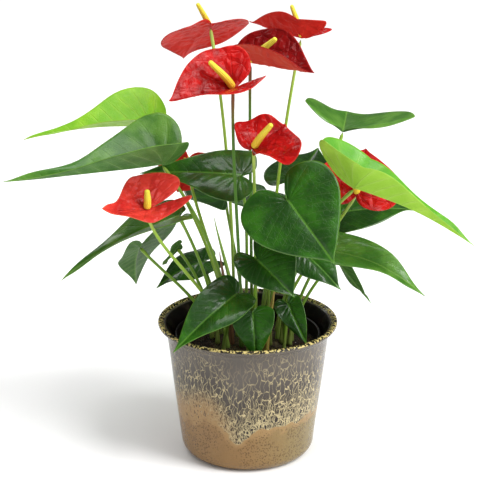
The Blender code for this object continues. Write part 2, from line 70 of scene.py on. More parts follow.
class Recipe:
    """A Principled material whose nodes are laid out one after another."""

    def __init__(self, name: str) -> None:
        """Starts the material.

        Args:
            name: The material's name.
        """
        self.material = bpy.data.materials.new(name)
        self.material.use_nodes = True
        self.tree = self.material.node_tree
        self.shader = self.tree.nodes["Principled BSDF"]

    def feed(self, socket: Socket, value: Value) -> None:
        """Links or sets one input.

        Args:
            socket: The input.
            value: Another node's output, a number, a vector or a colour.
        """
        if isinstance(value, Socket):
            self.tree.links.new(value, socket)
        elif socket.type == "RGBA":
            socket.default_value = (*value, 1.0)
        else:
            socket.default_value = value

    def node(self, kind: str, inputs: dict[str | int, Value], **settings: object) -> bpy.types.Node:
        """Adds a node.

        Args:
            kind: The shader node's type, without its prefix.
            inputs: What each input takes.
            **settings: The node's own settings.

        Returns:
            The new node.
        """
        made = self.tree.nodes.new("ShaderNode" + kind)
        for key, value in settings.items():
            setattr(made, key, value)
        for key, value in inputs.items():
            self.feed(made.inputs[key], value)
        return made

    def math(self, operation: str, first: Value, second: Value = 0.0) -> Socket:
        """Returns what one operation makes of two values."""
        return self.node("Math", {0: first, 1: second}, operation=operation).outputs[0]

    def total(self, first: Value, second: Value) -> Socket:
        """Returns the sum of two values."""
        return self.math("ADD", first, second)

    def product(self, *values: Value) -> Socket:
        """Returns the product of the values."""
        found = values[0]
        for value in values[1:]:
            found = self.math("MULTIPLY", found, value)
        return found

    def fade(self, value: Value, start: float, end: float) -> Socket:
        """Returns 0 where the value is at the start and 1 at the end, with a smooth step between."""
        inputs = {"Value": value, "From Min": start, "From Max": end}
        return self.node("MapRange", inputs, interpolation_type="SMOOTHSTEP").outputs["Result"]

    def blend(self, share: Value, first: Value, second: Value) -> Socket:
        """Returns a colour between two others."""
        return self.node("Mix", {0: share, 6: first, 7: second}, data_type="RGBA").outputs[2]

    def tinted(self, first: Value, second: Value, *shares: Value) -> Socket:
        """Returns the first colour turned toward the second by the product of the shares."""
        return self.blend(self.product(*shares), first, second)

    def noise(self, place: Value, scale: float, detail: float = 3.0) -> Socket:
        """Returns cloudy noise, about 0.5 on average."""
        inputs = {"Vector": place, "Scale": scale, "Detail": detail}
        return self.node("TexNoise", inputs).outputs["Fac"]

    def cells(self, place: Value, scale: float, randomness: float = 1.0) -> Socket:
        """Returns the distance to the nearest edge between cells."""
        inputs = {"Vector": place, "Scale": scale, "Randomness": randomness}
        return self.node("TexVoronoi", inputs, feature="DISTANCE_TO_EDGE").outputs["Distance"]

    def spots(self, place: Value, scale: float) -> Socket:
        """Returns the distance to the nearest of scattered points."""
        return self.node("TexVoronoi", {"Vector": place, "Scale": scale}).outputs["Distance"]

    def stretched(self, place: Value, scale: Point) -> Socket:
        """Returns the place scaled along each axis."""
        return self.node("Mapping", {"Vector": place, "Scale": scale}).outputs["Vector"]

    def wobbled(self, place: Value, scale: float, reach: float) -> Socket:
        """Returns the place pushed about by noise, so that lines on it aren't straight."""
        cloud = self.node("TexNoise", {"Vector": place, "Scale": scale, "Detail": 2.0}).outputs["Color"]
        centred = self.node("VectorMath", {0: cloud, 1: (0.5, 0.5, 0.5)}, operation="SUBTRACT").outputs[0]
        pushed = self.node("VectorMath", {0: centred, "Scale": reach}, operation="SCALE").outputs[0]
        return self.node("VectorMath", {0: place, 1: pushed}, operation="ADD").outputs[0]

    def object_place(self) -> Socket:
        """Returns the place on the object, in metres."""
        return self.node("TexCoord", {}).outputs["Object"]

    def layout(self, name: str) -> Socket:
        """Returns the place on one of the piece's own flat layouts."""
        return self.node("UVMap", {}, uv_map=name).outputs["UV"]

    def split(self, place: Value) -> tuple[Socket, ...]:
        """Returns the place's three numbers."""
        return tuple(self.node("SeparateXYZ", {0: place}).outputs)

    def attribute(self, name: str) -> Socket:
        """Returns one of the piece's own per-point numbers."""
        return self.node("Attribute", {}, attribute_name=name).outputs["Fac"]

    def bump(self, height: Value, distance: float, strength: float = 1.0) -> Socket:
        """Returns the surface's direction, turned by a height of up to the distance in metres."""
        inputs = {"Strength": strength, "Distance": distance, "Height": height}
        return self.node("Bump", inputs).outputs["Normal"]

    def surface(self, colour: Value, roughness: Value, normal: Value | None = None, **more: Value) -> None:
        """Finishes the shader.

        Args:
            colour: Base colour.
            roughness: Roughness.
            normal: The bumped direction, if any.
            **more: Other inputs by name, with _ for a space.
        """
        self.feed(self.shader.inputs["Base Color"], colour)
        self.feed(self.shader.inputs["Roughness"], roughness)
        if normal is not None:
            self.feed(self.shader.inputs["Normal"], normal)
        for key, value in more.items():
            self.feed(self.shader.inputs[key.replace("_", " ")], value)


@dataclass(frozen=True)
class CrackleGlaze:
    """Grey-brown glaze run over an ochre one, with pale upright crackle and a dark mottled lip."""

    lip_height: float
    run: Colour = (0.112, 0.096, 0.080)
    run_dark: Colour = (0.022, 0.015, 0.012)
    crackle: Colour = (0.50, 0.41, 0.22)
    ochre: Colour = (0.25, 0.140, 0.048)
    ochre_pale: Colour = (0.36, 0.220, 0.090)
    olive: Colour = (0.22, 0.165, 0.066)
    speckle: Colour = (0.085, 0.040, 0.014)
    lip_dark: Colour = (0.012, 0.01, 0.007)
    lip_cream: Colour = (0.58, 0.47, 0.17)

    def material(self) -> Material:
        """Returns the glaze."""
        recipe = Recipe("crackle_glaze")
        place = recipe.object_place()
        east, _, height = recipe.split(place)
        above = recipe.math("SUBTRACT", height, recipe.attribute("glaze_line"))
        ragged = recipe.math("MULTIPLY", recipe.math("SUBTRACT", recipe.noise(place, 90.0), 0.5), 0.022)
        edge = recipe.total(above, ragged)
        on_run = recipe.fade(edge, -0.0012, 0.0012)
        upright = recipe.stretched(recipe.wobbled(place, 110.0, 0.009), (1.0, 1.0, 0.24))
        wide = recipe.fade(recipe.cells(upright, 250.0), 0.065, 0.01)
        network = recipe.cells(upright, 520.0)
        fine = recipe.fade(network, 0.15, 0.03)
        cloud = recipe.noise(recipe.stretched(place, (1.0, 1.0, 0.5)), 55.0, 4.0)
        middle = recipe.product(recipe.fade(above, 0.100, 0.030), recipe.fade(cloud, 0.20, 0.46))
        lines = recipe.math("MAXIMUM", wide, recipe.product(fine, recipe.fade(above, 0.045, 0.0), 0.9))
        crackle = recipe.product(lines, middle)
        low_down = recipe.product(recipe.fade(above, 0.075, 0.012), 0.85)
        deep = recipe.total(low_down, recipe.product(cloud, 0.3))
        body = recipe.blend(deep, self.run, self.run_dark)
        run = recipe.blend(crackle, body, self.crackle)
        turned = recipe.fade(recipe.total(east, recipe.product(cloud, 0.02)), 0.0, 0.075)
        ground = recipe.blend(turned, self.ochre, self.olive)
        halo = recipe.fade(edge, -0.010, -0.001)
        ground = recipe.tinted(ground, self.ochre_pale, halo, 0.7)
        dots = recipe.fade(recipe.spots(recipe.wobbled(place, 300.0, 0.002), 470.0), 0.42, 0.28)
        patch = recipe.fade(recipe.noise(place, 34.0, 2.0), 0.38, 0.56)
        side = recipe.fade(east, 0.0, -0.045)
        near_line = recipe.product(recipe.fade(above, -0.030, 0.0), side)
        freckles = recipe.product(dots, recipe.math("MAXIMUM", recipe.product(patch, 0.8), near_line))
        freckles = recipe.product(freckles, recipe.fade(above, 0.0, -0.008))
        ground = recipe.blend(freckles, ground, self.speckle)
        left_mist = recipe.product(recipe.fade(above, 0.036, 0.004), side)
        thin = recipe.math("MAXIMUM", recipe.fade(network, 0.40, 0.18), recipe.fade(cloud, 0.56, 0.36))
        run = recipe.tinted(run, ground, left_mist, thin)
        outside = recipe.blend(on_run, ground, run)
        mottle = recipe.fade(recipe.noise(place, 420.0, 3.0), 0.49, 0.54)
        lip = recipe.blend(mottle, self.lip_dark, self.lip_cream)
        on_lip = recipe.fade(height, self.lip_height - 0.0026, self.lip_height - 0.0016)
        colour = recipe.blend(on_lip, outside, lip)
        relief = recipe.total(recipe.product(lines, 0.5), recipe.product(dots, 0.3))
        relief = recipe.total(relief, recipe.product(recipe.noise(place, 60.0, 2.0), 1.6))
        shine = recipe.total(recipe.product(cloud, 0.12), 0.17)
        recipe.surface(colour, shine, recipe.bump(relief, 0.0003), Coat_Weight=0.08, Specular_IOR_Level=0.3)
        return recipe.material


@dataclass(frozen=True)
class InsidePaintedShadeGlaze:
    """The glaze inside the cover pot, painted near-black as shade for the dark inside, with faint runs."""

    # painted shade: the inside colour is near black to stand for the shade inside the pot
    colour: Colour = (0.007, 0.005, 0.004)
    streak: Colour = (0.03, 0.022, 0.014)

    def material(self) -> Material:
        """Returns the glaze."""
        recipe = Recipe("inside_painted_shade_glaze")
        place = recipe.object_place()
        runs = recipe.fade(recipe.noise(recipe.stretched(place, (1.0, 1.0, 0.2)), 120.0, 4.0), 0.5, 0.75)
        colour = recipe.blend(runs, self.colour, self.streak)
        rough = recipe.total(recipe.product(runs, 0.15), 0.3)
        recipe.surface(colour, rough, recipe.bump(runs, 0.0002), Specular_IOR_Level=0.12)
        return recipe.material


@dataclass(frozen=True)
class MouldedPlastic:
    """Thin dark moulded plastic with a fine grain."""

    colour: Colour = (0.008, 0.006, 0.005)
    scuffed: Colour = (0.025, 0.02, 0.016)

    def material(self) -> Material:
        """Returns the plastic."""
        recipe = Recipe("black_plastic")
        place = recipe.object_place()
        scuffs = recipe.fade(recipe.noise(place, 240.0, 5.0), 0.55, 0.72)
        colour = recipe.tinted(self.colour, self.scuffed, scuffs, 0.5)
        rough = recipe.total(recipe.product(scuffs, 0.2), 0.38)
        grain = recipe.bump(recipe.noise(place, 900.0), 0.00008)
        recipe.surface(colour, rough, grain, Specular_IOR_Level=0.15)
        return recipe.material


@dataclass(frozen=True)
class Crumbly:
    """Soil, bark or perlite: two colours in crumbs of a size, with painted shade in the cracks between
    crumbs.
    """

    name: str
    colour: Colour
    other: Colour
    crumb: float
    relief: float = 0.001

    def material(self) -> Material:
        """Returns the finish."""
        recipe = Recipe(self.name)
        place = recipe.object_place()
        scale = 1.0 / self.crumb
        grains = recipe.cells(place, scale)
        mixed = recipe.fade(recipe.noise(place, scale * 0.6, 5.0), 0.42, 0.62)
        colour = recipe.blend(mixed, self.colour, self.other)
        # painted shade: the cracks between crumbs are darkened to near black
        colour = recipe.blend(recipe.fade(grains, 0.12, 0.0), colour, (0.004, 0.003, 0.002))
        height = recipe.total(grains, recipe.product(recipe.noise(place, scale * 2.5, 4.0), 0.5))
        recipe.surface(colour, 0.92, recipe.bump(height, self.relief), Specular_IOR_Level=0.25)
        return recipe.material


@dataclass(frozen=True)
class LeafFace:
    """One side of a leaf: its own colours, veins and gloss."""

    name: str
    body: Colour
    deep: Colour
    vein: Colour
    rim: Colour
    roughness: float
    coat: float
    lateral: float = 0.06
    raised: float = -1.0

    def material(self) -> Material:
        """Returns the finish."""
        recipe = Recipe(self.name)
        flat = recipe.layout("flat")
        _, across, _ = recipe.split(flat)
        phase, ring, _ = recipe.split(recipe.layout("veins"))
        middle = recipe.math("ABSOLUTE", across)
        midrib = recipe.fade(middle, 0.016, 0.004)
        to_vein = recipe.math("PINGPONG", phase, 0.5)
        lateral = recipe.product(recipe.fade(to_vein, 0.07, 0.01), recipe.fade(ring, 1.0, 0.75))
        beside = recipe.fade(to_vein, 0.30, 0.04)
        flat_wobble = recipe.wobbled(flat, 9.0, 0.05)
        net = recipe.fade(recipe.cells(flat_wobble, 24.0), 0.10, 0.0)
        small = recipe.cells(flat_wobble, 60.0)
        patches = recipe.fade(recipe.noise(flat, 3.5, 5.0), 0.34, 0.60)
        colour = recipe.blend(patches, self.body, self.deep)
        colour = recipe.tinted(colour, self.vein, beside, self.lateral, 0.45)
        colour = recipe.tinted(colour, self.vein, net, self.lateral, 0.3)
        colour = recipe.tinted(colour, self.vein, lateral, self.lateral)
        colour = recipe.tinted(colour, self.vein, midrib, 0.45)
        colour = recipe.tinted(colour, self.rim, recipe.fade(ring, 0.972, 0.998), 0.4)
        ribs = recipe.total(recipe.product(lateral, 0.8), recipe.product(net, 0.28))
        height = recipe.product(recipe.total(ribs, recipe.product(midrib, 0.45)), self.raised)
        height = recipe.total(height, recipe.product(small, 0.35))
        height = recipe.total(height, recipe.product(recipe.noise(flat, 18.0, 3.0), 0.5))
        rough = recipe.total(recipe.product(patches, 0.08), self.roughness)
        recipe.surface(
            colour,
            rough,
            recipe.bump(height, 0.00045),
            Coat_Weight=self.coat,
            Coat_Roughness=0.14,
            Specular_IOR_Level=0.2,
        )
        return recipe.material


@dataclass(frozen=True)
class SpatheFace:
    """One side of a spathe: waxy, puckered between veins that spread from its base."""

    name: str
    body: Colour
    deep: Colour
    vein: Colour
    rim: Colour
    roughness: float = 0.22
    coat: float = 0.07
    veins: float = 0.3
    relief: float = 0.0012
    gloss: float = 0.1

    def material(self) -> Material:
        """Returns the finish."""
        recipe = Recipe(self.name)
        flat = recipe.layout("flat")
        _, across, _ = recipe.split(flat)
        rays = recipe.layout("veins")
        spread, ring, _ = recipe.split(rays)
        main = recipe.fade(recipe.math("PINGPONG", spread, 0.5), 0.07, 0.01)
        main = recipe.product(main, recipe.fade(ring, 1.0, 0.55))
        midrib = recipe.product(recipe.fade(recipe.math("ABSOLUTE", across), 0.014, 0.004), 0.8)
        pucker = recipe.cells(recipe.wobbled(flat, 9.0, 0.05), 9.0)
        crease = recipe.fade(pucker, 0.07, 0.0)
        patches = recipe.fade(recipe.noise(flat, 5.0, 4.0), 0.35, 0.68)
        colour = recipe.blend(patches, self.body, self.deep)
        lines = recipe.math("MAXIMUM", recipe.math("MAXIMUM", main, midrib), recipe.product(crease, 0.45))
        colour = recipe.tinted(colour, self.vein, lines, self.veins)
        colour = recipe.tinted(colour, self.rim, recipe.fade(ring, 0.965, 0.995), 0.7)
        puffed = recipe.fade(pucker, 0.0, 0.42)
        height = recipe.total(puffed, recipe.product(lines, -0.3))
        height = recipe.total(height, recipe.product(recipe.noise(flat, 22.0, 2.0), 0.3))
        recipe.surface(
            colour,
            self.roughness,
            recipe.bump(height, self.relief),
            Coat_Weight=self.coat,
            Coat_Roughness=0.12,
            Specular_IOR_Level=self.gloss,
        )
        return recipe.material


@dataclass(frozen=True)
class StalkSkin:
    """Smooth skin of a stalk, from its foot's colour through its middle's to its top's."""

    name: str
    foot: Colour
    middle: Colour
    top: Colour
    roughness: float = 0.38

    def material(self) -> Material:
        """Returns the finish."""
        recipe = Recipe(self.name)
        turn, along, _ = recipe.split(recipe.layout("round"))
        colour = recipe.blend(recipe.fade(along, 0.0, 0.45), self.foot, self.middle)
        colour = recipe.blend(recipe.fade(along, 0.78, 0.98), colour, self.top)
        place = recipe.object_place()
        streak = recipe.noise(recipe.stretched(place, (1.0, 1.0, 0.08)), 900.0, 3.0)
        colour = recipe.tinted(colour, self.foot, recipe.fade(streak, 0.5, 0.75), 0.35)
        flecks = recipe.fade(recipe.spots(place, 420.0), 0.16, 0.08)
        colour = recipe.tinted(colour, self.middle, flecks, 0.35)
        grooves = recipe.math("SINE", recipe.product(turn, 6 * math.tau))
        height = recipe.total(recipe.product(grooves, 0.25), streak)
        recipe.surface(colour, self.roughness, recipe.bump(height, 0.00025), Specular_IOR_Level=0.25)
        return recipe.material


@dataclass(frozen=True)
class SpadixSkin:
    """Knobbly skin of a spadix: a small dimpled bump for each flower, paler to the tip."""

    name: str
    foot: Colour
    tip: Colour
    shadow: Colour

    def material(self) -> Material:
        """Returns the finish."""
        recipe = Recipe(self.name)
        around = recipe.layout("round")
        _, along, _ = recipe.split(around)
        buds = recipe.cells(recipe.stretched(around, (11.0, 24.0, 1.0)), 1.0, 0.25)
        colour = recipe.blend(recipe.fade(along, 0.05, 0.75), self.foot, self.tip)
        colour = recipe.tinted(colour, self.shadow, recipe.fade(buds, 0.16, 0.0), 0.55)
        recipe.surface(colour, 0.48, recipe.bump(recipe.fade(buds, 0.0, 0.4), 0.0004), Specular_IOR_Level=0.3)
        return recipe.material


@dataclass(frozen=True)
class DrySheath:
    """Thin dry sheath with fibres along it."""

    name: str
    colour: Colour
    fibre: Colour

    def material(self) -> Material:
        """Returns the finish."""
        recipe = Recipe(self.name)
        fibres = recipe.noise(recipe.stretched(recipe.layout("round"), (26.0, 1.2, 1.0)), 1.0, 5.0)
        colour = recipe.blend(recipe.fade(fibres, 0.4, 0.62), self.colour, self.fibre)
        recipe.surface(colour, 0.62, recipe.bump(fibres, 0.0005))
        return recipe.material


def finished(name: str, bm: bmesh.types.BMesh, finishes: Sequence[Material]) -> bpy.types.Object:
    """Makes an object of a bmesh, shades it smooth and dresses it.

    Args:
        name: The piece's name.
        bm: Its mesh, which is freed.
        finishes: Its materials, in the order of its faces' numbers.

    Returns:
        The new object, at the origin.
    """
    mesh = bpy.data.meshes.new(name)
    bm.to_mesh(mesh)
    bm.free()
    mesh.shade_smooth()
    for finish in finishes:
        mesh.materials.append(finish)
    piece = bpy.data.objects.new(name, mesh)
    bpy.context.scene.collection.objects.link(piece)
    return piece


def hang(piece: bpy.types.Object, slot: str, *nodes: str) -> None:
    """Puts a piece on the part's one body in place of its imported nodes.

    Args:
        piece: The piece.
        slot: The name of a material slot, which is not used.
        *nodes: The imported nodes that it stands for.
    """
    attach(piece, "root")
    if nodes:
        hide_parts(*nodes)
    LOG.info("%s: %d faces", piece.name, len(piece.data.polygons))


def smooth_curve(points: Sequence[Flat], share: float) -> Flat:
    """Reads a smooth curve through points.

    Args:
        points: The points.
        share: How far along, 0 to 1.

    Returns:
        The point there.
    """
    place_on = share * (len(points) - 1)
    i = min(int(place_on), len(points) - 2)
    t = place_on - i
    a, b, c, d = (points[min(max(k, 0), len(points) - 1)] for k in (i - 1, i, i + 1, i + 2))
    x, y = (
        q + 0.5 * t * (r - p + t * (2 * p - 5 * q + 4 * r - s + t * (3 * q - p - 3 * r + s)))
        for p, q, r, s in zip(a, b, c, d)
    )
    return x, y


def turned(
    profile: Sequence[Flat], steps: int, centre: Flat = (0.0, 0.0)
) -> bmesh.types.BMesh:
    """Spins a profile into a closed body.

    Args:
        profile: (radius, height) points from the axis round to the axis.
        steps: How many steps make the turn.
        centre: Where the axis stands.

    Returns:
        The body's bmesh, facing outwards.
    """
    bm = bmesh.new()
    points = [bm.verts.new((radius, 0.0, z)) for radius, z in profile]
    edges = [bm.edges.new(pair) for pair in zip(points, points[1:])]
    bmesh.ops.spin(
        bm,
        geom=points + edges,
        cent=(0, 0, 0),
        axis=(0, 0, 1),
        angle=math.tau,
        steps=steps,
        use_merge=True,
    )
    bmesh.ops.remove_doubles(bm, verts=bm.verts, dist=WELD)
    bmesh.ops.recalc_face_normals(bm, faces=bm.faces)
    bmesh.ops.translate(bm, verts=bm.verts, vec=(*centre, 0.0))
    return bm


def arc(
    centre: Flat, radius: float, start: float, end: float, steps: int
) -> list[Flat]:
    """Returns points of an arc in the (radius, height) plane, angles in degrees from straight out."""
    angles = [math.radians(start + (end - start) * i / steps) for i in range(steps + 1)]
    return [(centre[0] + radius * math.cos(a), centre[1] + radius * math.sin(a)) for a in angles]


@dataclass(frozen=True)
class Path:
    """A smooth path between two points, steered by two more."""

    start: Vector
    leave: Vector
    arrive: Vector
    end: Vector

    def at(self, share: float) -> Vector:
        """Returns the point at a share of the way."""
        s = 1.0 - share
        near = self.start * s**3 + self.leave * (3 * s * s * share)
        return near + self.arrive * (3 * s * share * share) + self.end * share**3

    def heading(self, share: float) -> Vector:
        """Returns the direction at a share of the way."""
        s = 1.0 - share
        first = (self.leave - self.start) * (s * s) + (self.arrive - self.leave) * (2 * s * share)
        return (first + (self.end - self.arrive) * (share * share)).normalized()


def tube(path: Path, radius: Callable[[float, float], float], rings: int, sides: int) -> bmesh.types.BMesh:
    """Wraps a grid into a closed tube along a path.

    Args:
        path: The middle line.
        radius: The radius for a share of the way along and of the turn.
        rings: How many rings.
        sides: How many sides.

    Returns:
        The tube's bmesh, with its layout "round" as (turn, along).
    """
    bm = bmesh.new()
    round_layout = bm.loops.layers.uv.new("round")
    bmesh.ops.create_grid(bm, x_segments=rings, y_segments=sides, size=0.5)
    for face in bm.faces:
        for loop in face.loops:
            loop[round_layout].uv = (loop.vert.co.y + 0.5, loop.vert.co.x + 0.5)
    side = path.heading(0.0).orthogonal().normalized()
    across = []
    for i in range(rings + 1):
        heading = path.heading(i / rings)
        side = (side - heading * side.dot(heading)).normalized()
        across.append((side.copy(), heading.cross(side)))
    for vert in bm.verts:
        along, turn = vert.co.x + 0.5, (vert.co.y + 0.5) % 1.0
        first, second = across[round(along * rings)]
        reach = radius(along, turn) if WELD < along < 1.0 - WELD else 0.0
        angle = turn * math.tau
        vert.co = path.at(along) + (first * math.cos(angle) + second * math.sin(angle)) * reach
    bmesh.ops.remove_doubles(bm, verts=bm.verts, dist=WELD)
    bmesh.ops.recalc_face_normals(bm, faces=bm.faces)
    return bm


class Shape(Enum):
    """The two kinds of heart-shaped blade, each a half outline from its tip round to its sinus."""

    LEAF = (
        (1.0, 0.0), (0.9, 0.05), (0.72, 0.19), (0.5, 0.34), (0.25, 0.46), (0.0, 0.5),
        (-0.2, 0.46), (-0.33, 0.33), (-0.34, 0.17), (-0.2, 0.06), (-0.05, 0.0),
    )
    SPATHE = (
        (1.0, 0.0), (0.92, 0.06), (0.76, 0.23), (0.55, 0.4), (0.3, 0.5), (0.05, 0.5),
        (-0.18, 0.42), (-0.3, 0.27), (-0.28, 0.12), (-0.16, 0.04), (-0.05, 0.0),
    )


class Tone(Enum):
    """How light a leaf or a spathe is."""

    DARK = "dark"
    MIDDLE = "middle"
    LIGHT = "light"
    FRESH = "fresh"
    RED = "red"
    MAROON = "maroon"
    CORAL = "coral"


PETIOLE_SKIN = StalkSkin("petiole_skin", (0.20, 0.26, 0.06), (0.15, 0.29, 0.025), (0.25, 0.41, 0.05))
SCAPE_SKIN = StalkSkin("scape_skin", (0.18, 0.28, 0.05), (0.27, 0.43, 0.045), (0.40, 0.54, 0.11))
BROWN_SCAPE_SKIN = StalkSkin("scape_skin_brown", (0.10, 0.17, 0.03), (0.07, 0.19, 0.016), (0.17, 0.05, 0.018))
SPADIX_SKIN = SpadixSkin("spadix_yellow_skin", (0.92, 0.62, 0.04), (0.92, 0.84, 0.07), (0.75, 0.48, 0.03))
HUSKS: dict[str, DrySheath] = {
    "brown": DrySheath("husk_brown", (0.16, 0.065, 0.03), (0.30, 0.15, 0.07)),
    "tan": DrySheath("husk_tan", (0.42, 0.26, 0.05), (0.30, 0.30, 0.06)),
    "new_leaf": DrySheath("rolled_leaf", (0.22, 0.42, 0.05), (0.34, 0.52, 0.10)),
}
DARK_LEAF = LeafFace(
    "leaf_dark_upper",
    body=(0.024, 0.112, 0.005),
    deep=(0.008, 0.048, 0.002),
    vein=(0.12, 0.30, 0.03),
    rim=(0.16, 0.34, 0.04),
    roughness=0.30,
    coat=0.4,
)
DARK_LEAF_UNDER = LeafFace(
    "leaf_dark_under",
    body=(0.07, 0.19, 0.03),
    deep=(0.045, 0.135, 0.02),
    vein=(0.22, 0.38, 0.10),
    rim=(0.16, 0.3, 0.06),
    roughness=0.5,
    coat=0.0,
    lateral=0.25,
    raised=1.0,
)
MIDDLE_LEAF = LeafFace(
    "leaf_middle_upper",
    body=(0.105, 0.26, 0.028),
    deep=(0.040, 0.15, 0.010),
    vein=(0.22, 0.42, 0.07),
    rim=(0.2, 0.36, 0.05),
    roughness=0.34,
    coat=0.4,
)
LIGHT_LEAF = LeafFace(
    "leaf_light_upper",
    body=(0.23, 0.49, 0.012),
    deep=(0.16, 0.41, 0.008),
    vein=(0.45, 0.66, 0.10),
    rim=(0.4, 0.58, 0.08),
    roughness=0.36,
    coat=0.08,
    lateral=0.2,
)
LIGHT_LEAF_UNDER = LeafFace(
    "leaf_light_under",
    body=(0.33, 0.58, 0.05),
    deep=(0.25, 0.49, 0.035),
    vein=(0.46, 0.64, 0.14),
    rim=(0.4, 0.5, 0.1),
    roughness=0.5,
    coat=0.0,
    lateral=0.3,
    raised=1.0,
)
FRESH_LEAF = LeafFace(
    "leaf_fresh_upper",
    body=(0.11, 0.37, 0.016),
    deep=(0.08, 0.30, 0.010),
    vein=(0.35, 0.58, 0.09),
    rim=(0.36, 0.56, 0.08),
    roughness=0.34,
    coat=0.3,
    lateral=0.2,
)
FRESH_LEAF_UNDER = LeafFace(
    "leaf_fresh_under",
    body=(0.38, 0.66, 0.06),
    deep=(0.30, 0.57, 0.04),
    vein=(0.5, 0.7, 0.16),
    rim=(0.45, 0.62, 0.12),
    roughness=0.5,
    coat=0.0,
    lateral=0.25,
    raised=1.0,
)
LEAF_FACES: dict[Tone, tuple[LeafFace, LeafFace]] = {
    Tone.DARK: (DARK_LEAF, DARK_LEAF_UNDER),
    Tone.MIDDLE: (MIDDLE_LEAF, DARK_LEAF_UNDER),
    Tone.LIGHT: (LIGHT_LEAF, LIGHT_LEAF_UNDER),
    Tone.FRESH: (FRESH_LEAF, FRESH_LEAF_UNDER),
}
RED_SPATHE = SpatheFace(
    "spathe_red_upper",
    body=(0.47, 0.008, 0.007),
    deep=(0.27, 0.004, 0.004),
    vein=(0.16, 0.002, 0.002),
    rim=(0.55, 0.03, 0.02),
)
CORAL_SPATHE = SpatheFace(
    "spathe_coral_upper",
    body=(0.60, 0.040, 0.028),
    deep=(0.42, 0.016, 0.014),
    vein=(0.42, 0.02, 0.010),
    rim=(0.62, 0.12, 0.05),
    roughness=0.28,
    coat=0.08,
    veins=0.25,
)
MAROON_SPATHE = SpatheFace(
    "spathe_maroon_upper",
    body=(0.21, 0.004, 0.004),
    deep=(0.12, 0.002, 0.003),
    vein=(0.08, 0.002, 0.002),
    rim=(0.4, 0.02, 0.015),
)
RED_SPATHE_UNDER = SpatheFace(
    "spathe_red_under",
    body=(0.66, 0.028, 0.020),
    deep=(0.54, 0.018, 0.013),
    vein=(0.70, 0.08, 0.05),
    rim=(0.5, 0.04, 0.02),
    roughness=0.42,
    coat=0.0,
    veins=0.16,
    relief=0.0006,
    gloss=0.04,
)
FLUSHED_SPATHE_UNDER = SpatheFace(
    "spathe_flushed_under",
    body=(0.62, 0.075, 0.045),
    deep=(0.56, 0.045, 0.03),
    vein=(0.55, 0.03, 0.02),
    rim=(0.45, 0.02, 0.015),
    roughness=0.42,
    coat=0.0,
    veins=0.16,
    relief=0.0006,
    gloss=0.04,
)
SPATHE_FACES: dict[Tone, tuple[SpatheFace, SpatheFace]] = {
    Tone.RED: (RED_SPATHE, RED_SPATHE_UNDER),
    Tone.CORAL: (CORAL_SPATHE, RED_SPATHE_UNDER),
    Tone.MAROON: (MAROON_SPATHE, FLUSHED_SPATHE_UNDER),
}


def made_faces(faces: Mapping[Tone, tuple[LeafFace | SpatheFace, ...]]) -> dict[Tone, Faces]:
    """Makes each finish once, even where two tones share it.

    Args:
        faces: Each tone's upper and lower side.

    Returns:
        Each tone's upper and lower finish.
    """
    made = {face: face.material() for pair in faces.values() for face in pair}
    return {tone: (made[upper], made[lower]) for tone, (upper, lower) in faces.items()}


@dataclass(frozen=True)
class Blade:
    """A heart-shaped blade, in millimetres from the middle of the soil's surface.

    Attributes:
        base: Where its stalk meets it.
        tip: Its point.
        face: Roughly the way its upper side looks.
        width: Across the widest place, laid flat.
        fold: Degrees that each half rises from the midrib.
        arch: How far the midrib rises between base and tip, as a share of the length.
        droop: How far the margins curl down, as a share of the width.
        lobe: Length of the lobes behind the base, against the outline's own.
        lift: Upward slope of the lobes behind the base.
        point: How much the sides draw in toward the tip, 0 for a full heart.
        lean: How much wider the left half is than the right, as a share.
        wave: How far the margin waves up and down, in millimetres.
        puff: How far the blade swells between its veins, in millimetres.
    """

    base: Point
    tip: Point
    face: Point
    width: float
    fold: float = 10.0
    arch: float = 0.0
    droop: float = 0.0
    lobe: float = 1.0
    lift: float = 0.0
    point: float = 0.0
    lean: float = 0.0
    wave: float = 1.6
    puff: float = 0.7


@dataclass(frozen=True)
class Spot:
    """A point of a blade and where it lies on the blade's two layouts."""

    place: Vector
    flat: Flat
    veins: Flat


